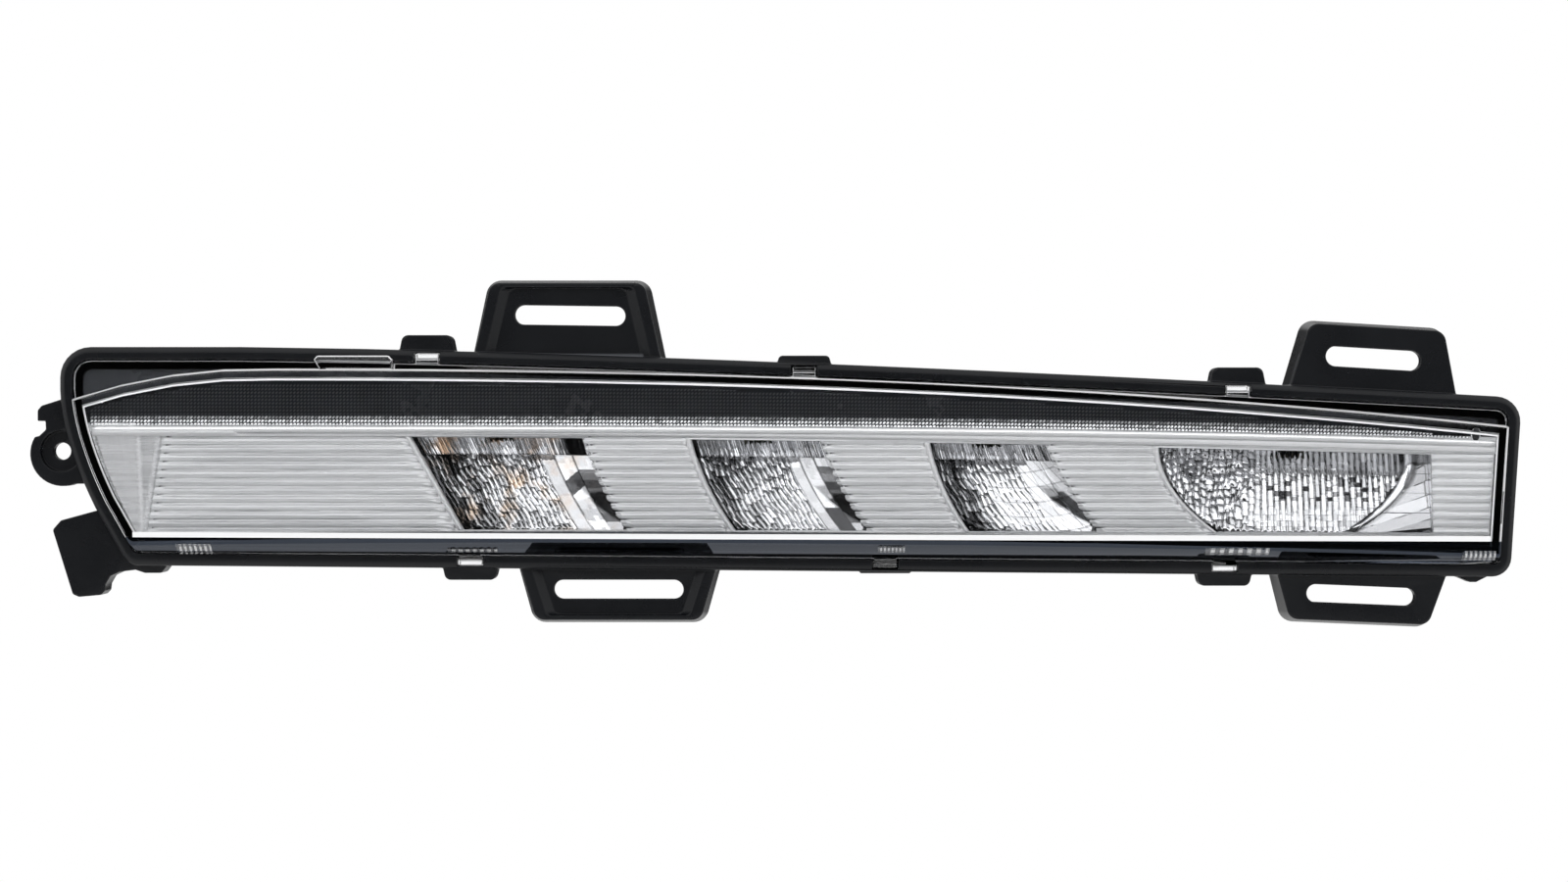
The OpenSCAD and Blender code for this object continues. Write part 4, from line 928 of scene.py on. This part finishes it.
def bowl_tone(i, s, t, across, down):
    """Painted dark reflections and shade of a bowl, from 0 for silver to 1 for black."""
    # Painted shade down the left edge, under the rim
    if s < 0.035:
        return 0.9
    if t < LEDGE:
        return ledge_tone(i, s, t, across)
    if i == 2 and s > FAN_START:
        return fan_tone(s, t)
    if s < FACET_STARTS[0]:
        near = LEFT_SHADE[i] * smooth(0.3, 0.12, s)
        level = (1.25 if i == 0 else 1.0) * mix(1.0, 0.62, smooth(0.25, 0.55, s))
        return min(0.96, cell_tone(i, across, down) * level + near)
    return strip_tone(i, s, t)


def bowl_place(i):
    """Place function of a bowl."""
    wide = POCKETS[i][1]

    def place(u, v):
        t = 1 - v
        x = mix(pocket_edge(i, 0, t), pocket_edge(i, 1, t), u)
        depth = bowl_depth(u, t)
        if t < LEDGE:
            depth = depth * 0.62 - 0.25 * math.sin(u * wide * 5.2)
            depth += 0.2 * chance(math.floor(u * wide / 1.6), i)
        across = u * wide / FLUTE + t * 0.9 + 0.2 * math.sin(t * 15 + u * 11)
        down = t * 8 + 0.8 * chance(math.floor(across), 7)
        if LEDGE < t and u < FACET_STARTS[0]:
            depth -= crumple(i, across, down) * (0.4 if i == 2 and u > FAN_START else 1.0)
        return x, BEZEL_BACK_Y + max(0.02, depth), pocket_z(x, t), bowl_tone(i, u, t, across, down)
    return place


for i in range(3):
    dress(sheet(f"bowl_{i + 1}", 190, 150, bowl_place(i), 0.3, 30), f"reflector_{i + 1}", False)

# %% [markdown]
# The last pocket is twice as wide. Its loose cells turn into regular upright flutes, and a narrow arc-shaped
# strip parts them from a facetted corner. It shares the bowl's depth and cells with the others, and three
# small functions give the depth and the tone, painted reflections and shade, of its three parts.

# %% Bowl of the right pocket
LOOSE_END, UPRIGHT_START = 298.0, 310.0
UPRIGHT_FLUTE = 1.5
ARC_HALF = 1.3


def arc_at(t):
    """Place along the lamp of the middle of the arc."""
    return 343.5 - 16.0 * t ** 2.2


def even_tone(x, t, column, part, share):
    """Painted dark reflection of an upright flute, shade in its valleys, a few dark cells half way down,
    loose cells at its foot.
    """
    even = 0.24 + 0.2 * chance(column, part, 4) + 0.65 * smooth(0.3, 0.08, share)
    even += 0.2 * smooth(0.86, 1.0, share)
    if 0.3 < t < 0.62 and chance(column, math.floor(t * 16), 8) > 0.55:
        even += 0.6
    return mix(even, 0.8 * cell_tone(3, x / FLUTE, t * 14), smooth(0.66, 0.78, t))


def fluted_part(x, t, depth):
    """Depth and tone left of the arc."""
    loose = 1 - smooth(LOOSE_END, UPRIGHT_START, x)
    across = x / UPRIGHT_FLUTE + (t * 0.9 + 0.2 * math.sin(t * 15 + x)) * loose
    column = math.floor(across)
    share = across - column
    down = t * 11 + 0.8 * chance(column, 7)
    part = math.floor(t * 5 + 0.5 * chance(column))
    upright = 0.45 * math.sin(math.pi * share) ** 0.7 + 0.12 * chance(column, part)
    tone = mix(even_tone(x, t, column, part, share), cell_tone(3, across, down), loose)
    return depth - mix(upright, crumple(3, across, down), loose), tone


def arc_part(off, depth):
    """Depth and tone of the arc, off being the distance from its middle, with painted shade at its sides."""
    return depth * 0.7 - 0.9 + 0.5 * off / ARC_HALF, 0.85 * smooth(0.5, 1.1, off)


def corner_part(past, t, depth):
    """Depth and tone right of the arc, past being the distance from its middle."""
    part = math.floor(t * 4 + past / 9)
    depth = depth * 0.62 + 0.8 * chance(part, 3) * past / 16
    depth -= 0.3 * chance(part, 5) * (t * 4 % 1.0)
    return depth, 0.48 + 0.2 * chance(part, 6) + 0.3 * max(0.0, 1 - abs(past - 1.8) / 1.2)


def right_bowl(u, v):
    t = 1 - v
    x = mix(pocket_edge(3, 0, t), pocket_edge(3, 1, t), u)
    past = x - arc_at(t)
    depth = 0.8 * bowl_depth(min(u * 1.6, 0.67), t)
    if x < arc_at(t) - ARC_HALF:
        depth, tone = fluted_part(x, t, depth)
    elif x < arc_at(t) + ARC_HALF:
        depth, tone = arc_part(abs(past), depth)
    else:
        depth, tone = corner_part(past, t, depth)
    # Painted shade along the left edge, under the rim
    return x, BEZEL_BACK_Y + max(0.02, depth), pocket_z(x, t), 0.9 if u < 0.02 else min(0.97, tone)


dress(sheet("bowl_4", 300, 150, right_bowl, 0.3, 30), "reflector_4", False)

# %% [markdown]
# The charcoal trim carries a fine grid of raised dots, nine tenths of a millimetre apart. They could be a
# bump, but as real pyramids they sparkle in every view. A point of the grid is raised where its column and
# its row are both odd. Along the lower border the first dots stand higher and carry a painted glint, which
# fades upwards, and every raised dot has a faint painted highlight.

# %% Dotted trim
DOT_PITCH = 0.9
TRIM_Y = -6.05
TRIM_LEFT, TRIM_RIGHT = 8.2, 357.6
DOT_COLUMNS = 2 * round((TRIM_RIGHT - TRIM_LEFT) / DOT_PITCH)
DOT_ROWS = 32
HIGH_ROWS = 6
BRIGHT_ROWS = 7.0
HIGH_DOT, LOW_DOT = 0.3, 0.12


def trim_low(x):
    """Lower edge of the trim, just under the upper edge of the bezel."""
    return bezel_top(x) - 0.9


def trim_high(x):
    """Upper edge of the trim, inside the wall of the lens."""
    return min(face_top(x) - 3.6, 17.4)


def trim_place(u, v):
    x = mix(TRIM_LEFT, TRIM_RIGHT, u)
    z = trim_low(x) + v * DOT_ROWS / 2 * DOT_PITCH
    column, row = round(u * DOT_COLUMNS), round(v * DOT_ROWS)
    raised = column % 2 and row % 2 and z < trim_high(x)
    # Painted glint on the lower rows, and a faint painted highlight on every raised dot
    glint = max(0.0, 1 - row / BRIGHT_ROWS) ** 1.5 * (4.5 + 2.5 * chance(column, row)) * raised
    y = TRIM_Y - (HIGH_DOT if row < HIGH_ROWS else LOW_DOT) * raised + 0.5 * (v <= 0)
    return x, y, min(z, trim_high(x)), glint + 0.07 * raised


dress(sheet("trim_dots", DOT_COLUMNS, DOT_ROWS, trim_place, 0.0, 20), "upper_trim", False)

# %% [markdown]
# A small rounded pin closes the trim at its right end. A scaled ball would do, but only its front half is
# seen, so a sheet is bent to it like the rest. Its two sides are bright, as in the photograph.

# %% Pin of the trim
PIN_X, PIN_Y, PIN_Z = 359.4, -6.1, 4.3
PIN_HALF_WIDTH, PIN_RISE, PIN_HALF_HEIGHT = 1.3, 0.7, 1.7


def pin_place(u, v):
    angle, up = math.pi * u, 2 * v - 1
    reach = math.sqrt(1 - up * up)
    # Painted highlight on both sides of the pin
    glint = 1.0 if u < 0.25 or u > 0.8 else 0.02
    x = PIN_X - PIN_HALF_WIDTH * math.cos(angle) * reach
    y = PIN_Y - PIN_RISE * math.sin(angle) * reach
    return x, y, PIN_Z + PIN_HALF_HEIGHT * up, glint


dress(sheet("trim_pin", 16, 12, pin_place, 0.0, 40), "upper_trim", False)

# %% [markdown]
# Small clear blocks stand on the foot slope of the lens, where its clips pass the edge of the housing, and
# break the light. Full glass prisms would cost many light bounces for a few millimetres. Each is a sheet of
# the lens material instead, with plain upright bars, and every second bar has a bright tone, a painted
# glint.

# %% Barred blocks on the foot slope
# Left, right, top and foot of each block, in millimetres
BLOCKS = [(30.4, 39.3, -23.4, -26.0), (99.0, 111.6, -24.6, -25.5), (207.8, 214.6, -24.0, -25.6),
          (290.4, 306.6, -24.4, -26.2), (355.5, 364.0, -25.2, -27.6)]
# Bars and rows of a block, just under a whole number, so that its last edge falls in the last of them
BARS, BAR_ROWS = 13.99, 3.99
LENS_FRONT_Y = -14.0
CROWN_MIDDLE, CROWN_TWICE_RADIUS = 185.9, 8000
SLOPE_TOP, SLOPE_HEIGHT, SLOPE_DEPTH = 7.5, 3.9, 7.0


def foot_slope(x, z):
    """Depth of the front of the lens over its foot slope."""
    down = (rim_foot(x) + SLOPE_TOP - z) / SLOPE_HEIGHT
    crown = (x - CROWN_MIDDLE) ** 2 / CROWN_TWICE_RADIUS
    return LENS_FRONT_Y + max(crown, SLOPE_DEPTH * min(1.0, max(0.0, down)))


def block_place(number, left, right, top, foot):
    """Place function of a block."""
    def place(u, v):
        column, row = math.floor(u * BARS), math.floor(v * BAR_ROWS)
        # Painted glint on every second bar
        shine = (0.9 if column % 2 else 0.1) * (1.0 if row in (1, 2) else 0.4)
        bump = 0.45 * shine * (1 - v * 4 % 1.0) + 0.06 * chance(column, row, number)
        x, z = mix(left, right, u), mix(foot, top, v)
        return x, foot_slope(x, z) - 0.25 - bump * (0 < u < 1), z, shine
    return place


for number, block in enumerate(BLOCKS):
    dress(sheet(f"lens_block_{number + 1}", 42, 16, block_place(number, *block), 0.0, 20), "lens", False)

# %% [markdown]
# The photograph has a pure white ground. A bright world would show it, but it would also flood the black
# plastic with light. Light Path nodes part the two: the camera, mirrors and the lens see full white, and
# the light that falls on the lamp is only about half of it.

# %% Surround
SEEN_STRENGTH = 1.0
LIT_STRENGTH = 0.55
world = bpy.data.worlds.new("surround")
bpy.context.scene.world = world
world.use_nodes = True
sky = world.node_tree
sky.nodes.clear()
background = sky.nodes.new("ShaderNodeBackground")
background.inputs["Color"].default_value = (1.0, 1.0, 1.0, 1.0)
world_output = sky.nodes.new("ShaderNodeOutputWorld")
path = sky.nodes.new("ShaderNodeLightPath")
seen = path.outputs["Is Camera Ray"]
for kind in ("Is Glossy Ray", "Is Transmission Ray"):
    either = sky.nodes.new("ShaderNodeMath")
    either.operation = "MAXIMUM"
    sky.links.new(seen, either.inputs[0])
    sky.links.new(path.outputs[kind], either.inputs[1])
    seen = either.outputs[0]
strength = sky.nodes.new("ShaderNodeMapRange")
strength.inputs["To Min"].default_value = LIT_STRENGTH
strength.inputs["To Max"].default_value = SEEN_STRENGTH
sky.links.new(seen, strength.inputs["Value"])
sky.links.new(strength.outputs["Result"], background.inputs["Strength"])
sky.links.new(background.outputs["Background"], world_output.inputs["Surface"])
print("world", len(sky.nodes), "nodes")

# %% [markdown]
# A floor well below the lamp sends pale light up into it, and the camera sees it as pure white. Bright metal
# shows only what stands round it, so a studio gives it something dark to draw its edges with: one dark
# card stands behind the camera and one behind the lamp. Only mirrors see them, and the front one also shows
# through the lens.

# %% Floor and cards
def plane(name, centre, size, turn):
    """Flat rectangle with its place in its mesh."""
    bm = bmesh.new()
    bmesh.ops.create_grid(bm, x_segments=1, y_segments=1, size=0.5)
    bmesh.ops.scale(bm, verts=bm.verts, vec=(size[0], size[1], 1.0))
    bmesh.ops.rotate(bm, verts=bm.verts, cent=(0, 0, 0), matrix=turn)
    bmesh.ops.translate(bm, verts=bm.verts, vec=centre)
    return finish_object(name, bm, 30)


floor = plane("floor", (0.18, 0.6, -0.2), (8.0, 6.0), Matrix.Identity(3))
pale = Finish("floor_pale", Roughness=0.8, Base_Color=(0.8, 0.8, 0.8, 1.0))
glow = pale.add("ShaderNodeEmission", inputs={"Color": (1.0, 1.0, 1.0, 1.0)})
pale.show_instead(glow, pale.add("ShaderNodeLightPath", out="Is Camera Ray"))
floor.data.materials.append(pale.material)

upright = Matrix.Rotation(math.radians(90), 3, "X")
card = plane("dark_card", (0.18, -1.6, 0.0), (2.6, 0.7), upright)
behind = plane("behind_card", (0.18, 1.2, 0.0), (1.4, 0.7), upright)
dark = Finish("card_dark", Roughness=0.9, Base_Color=(0.02, 0.02, 0.02, 1.0))
for piece in (card, behind):
    piece.data.materials.append(dark.material)
    piece.visible_camera = False
    piece.visible_diffuse = False
    piece.visible_shadow = False
behind.visible_transmission = False

# %% [markdown]
# Four soft boxes light the lamp: a large one above the front, a weaker one at each side and one behind the
# top. A sun lamp would be simpler, but its hard shadows would fall into the pockets. The boxes are hidden
# from mirrors, so that the metal shows the white surround and the dark cards only.

# %% Lamps
AIM = Vector((0.18, 0.0, 0.0))


def soft_box(name, centre, size, power):
    """Area light of a size in metres and a power in watts that looks at the middle of the lamp."""
    light = bpy.data.lights.new(name, "AREA")
    light.shape = "RECTANGLE"
    light.size, light.size_y = size
    light.energy = power
    lamp = bpy.data.objects.new(name, light)
    lamp.location = centre
    lamp.rotation_euler = (AIM - Vector(centre)).to_track_quat("-Z", "Y").to_euler()
    lamp.visible_camera = False
    lamp.visible_glossy = False
    bpy.context.scene.collection.objects.link(lamp)
    print(name, power, "watts")


soft_box("key_box", (0.18, -0.9, 0.9), (3.0, 1.5), 15)
soft_box("left_box", (-0.9, -0.8, 0.3), (1.2, 1.2), 4)
soft_box("right_box", (1.2, -0.8, 0.2), (1.2, 1.2), 4)
soft_box("back_box", (0.18, 0.9, 0.8), (1.2, 0.4), 3)

# %% [markdown]
# The photograph looks straight at the lens. A long focal length from about a metre away keeps the tabs at
# both ends from being seen from the side, and the place of the camera sets the lamp where it is in the
# picture.

# %% Camera
view = bpy.data.cameras.new("camera")
view.lens = 99
view.sensor_width = 36
view.clip_start = 0.01
camera = bpy.data.objects.new("camera", view)
camera.location = (0.1841, -1.1, 0.0026)
camera.rotation_euler = (math.radians(90), 0, 0)
bpy.context.scene.collection.objects.link(camera)
bpy.context.scene.camera = camera
bpy.context.scene.view_settings.view_transform = "Standard"
print("camera", view.lens, "mm, at", [round(v, 3) for v in camera.location])
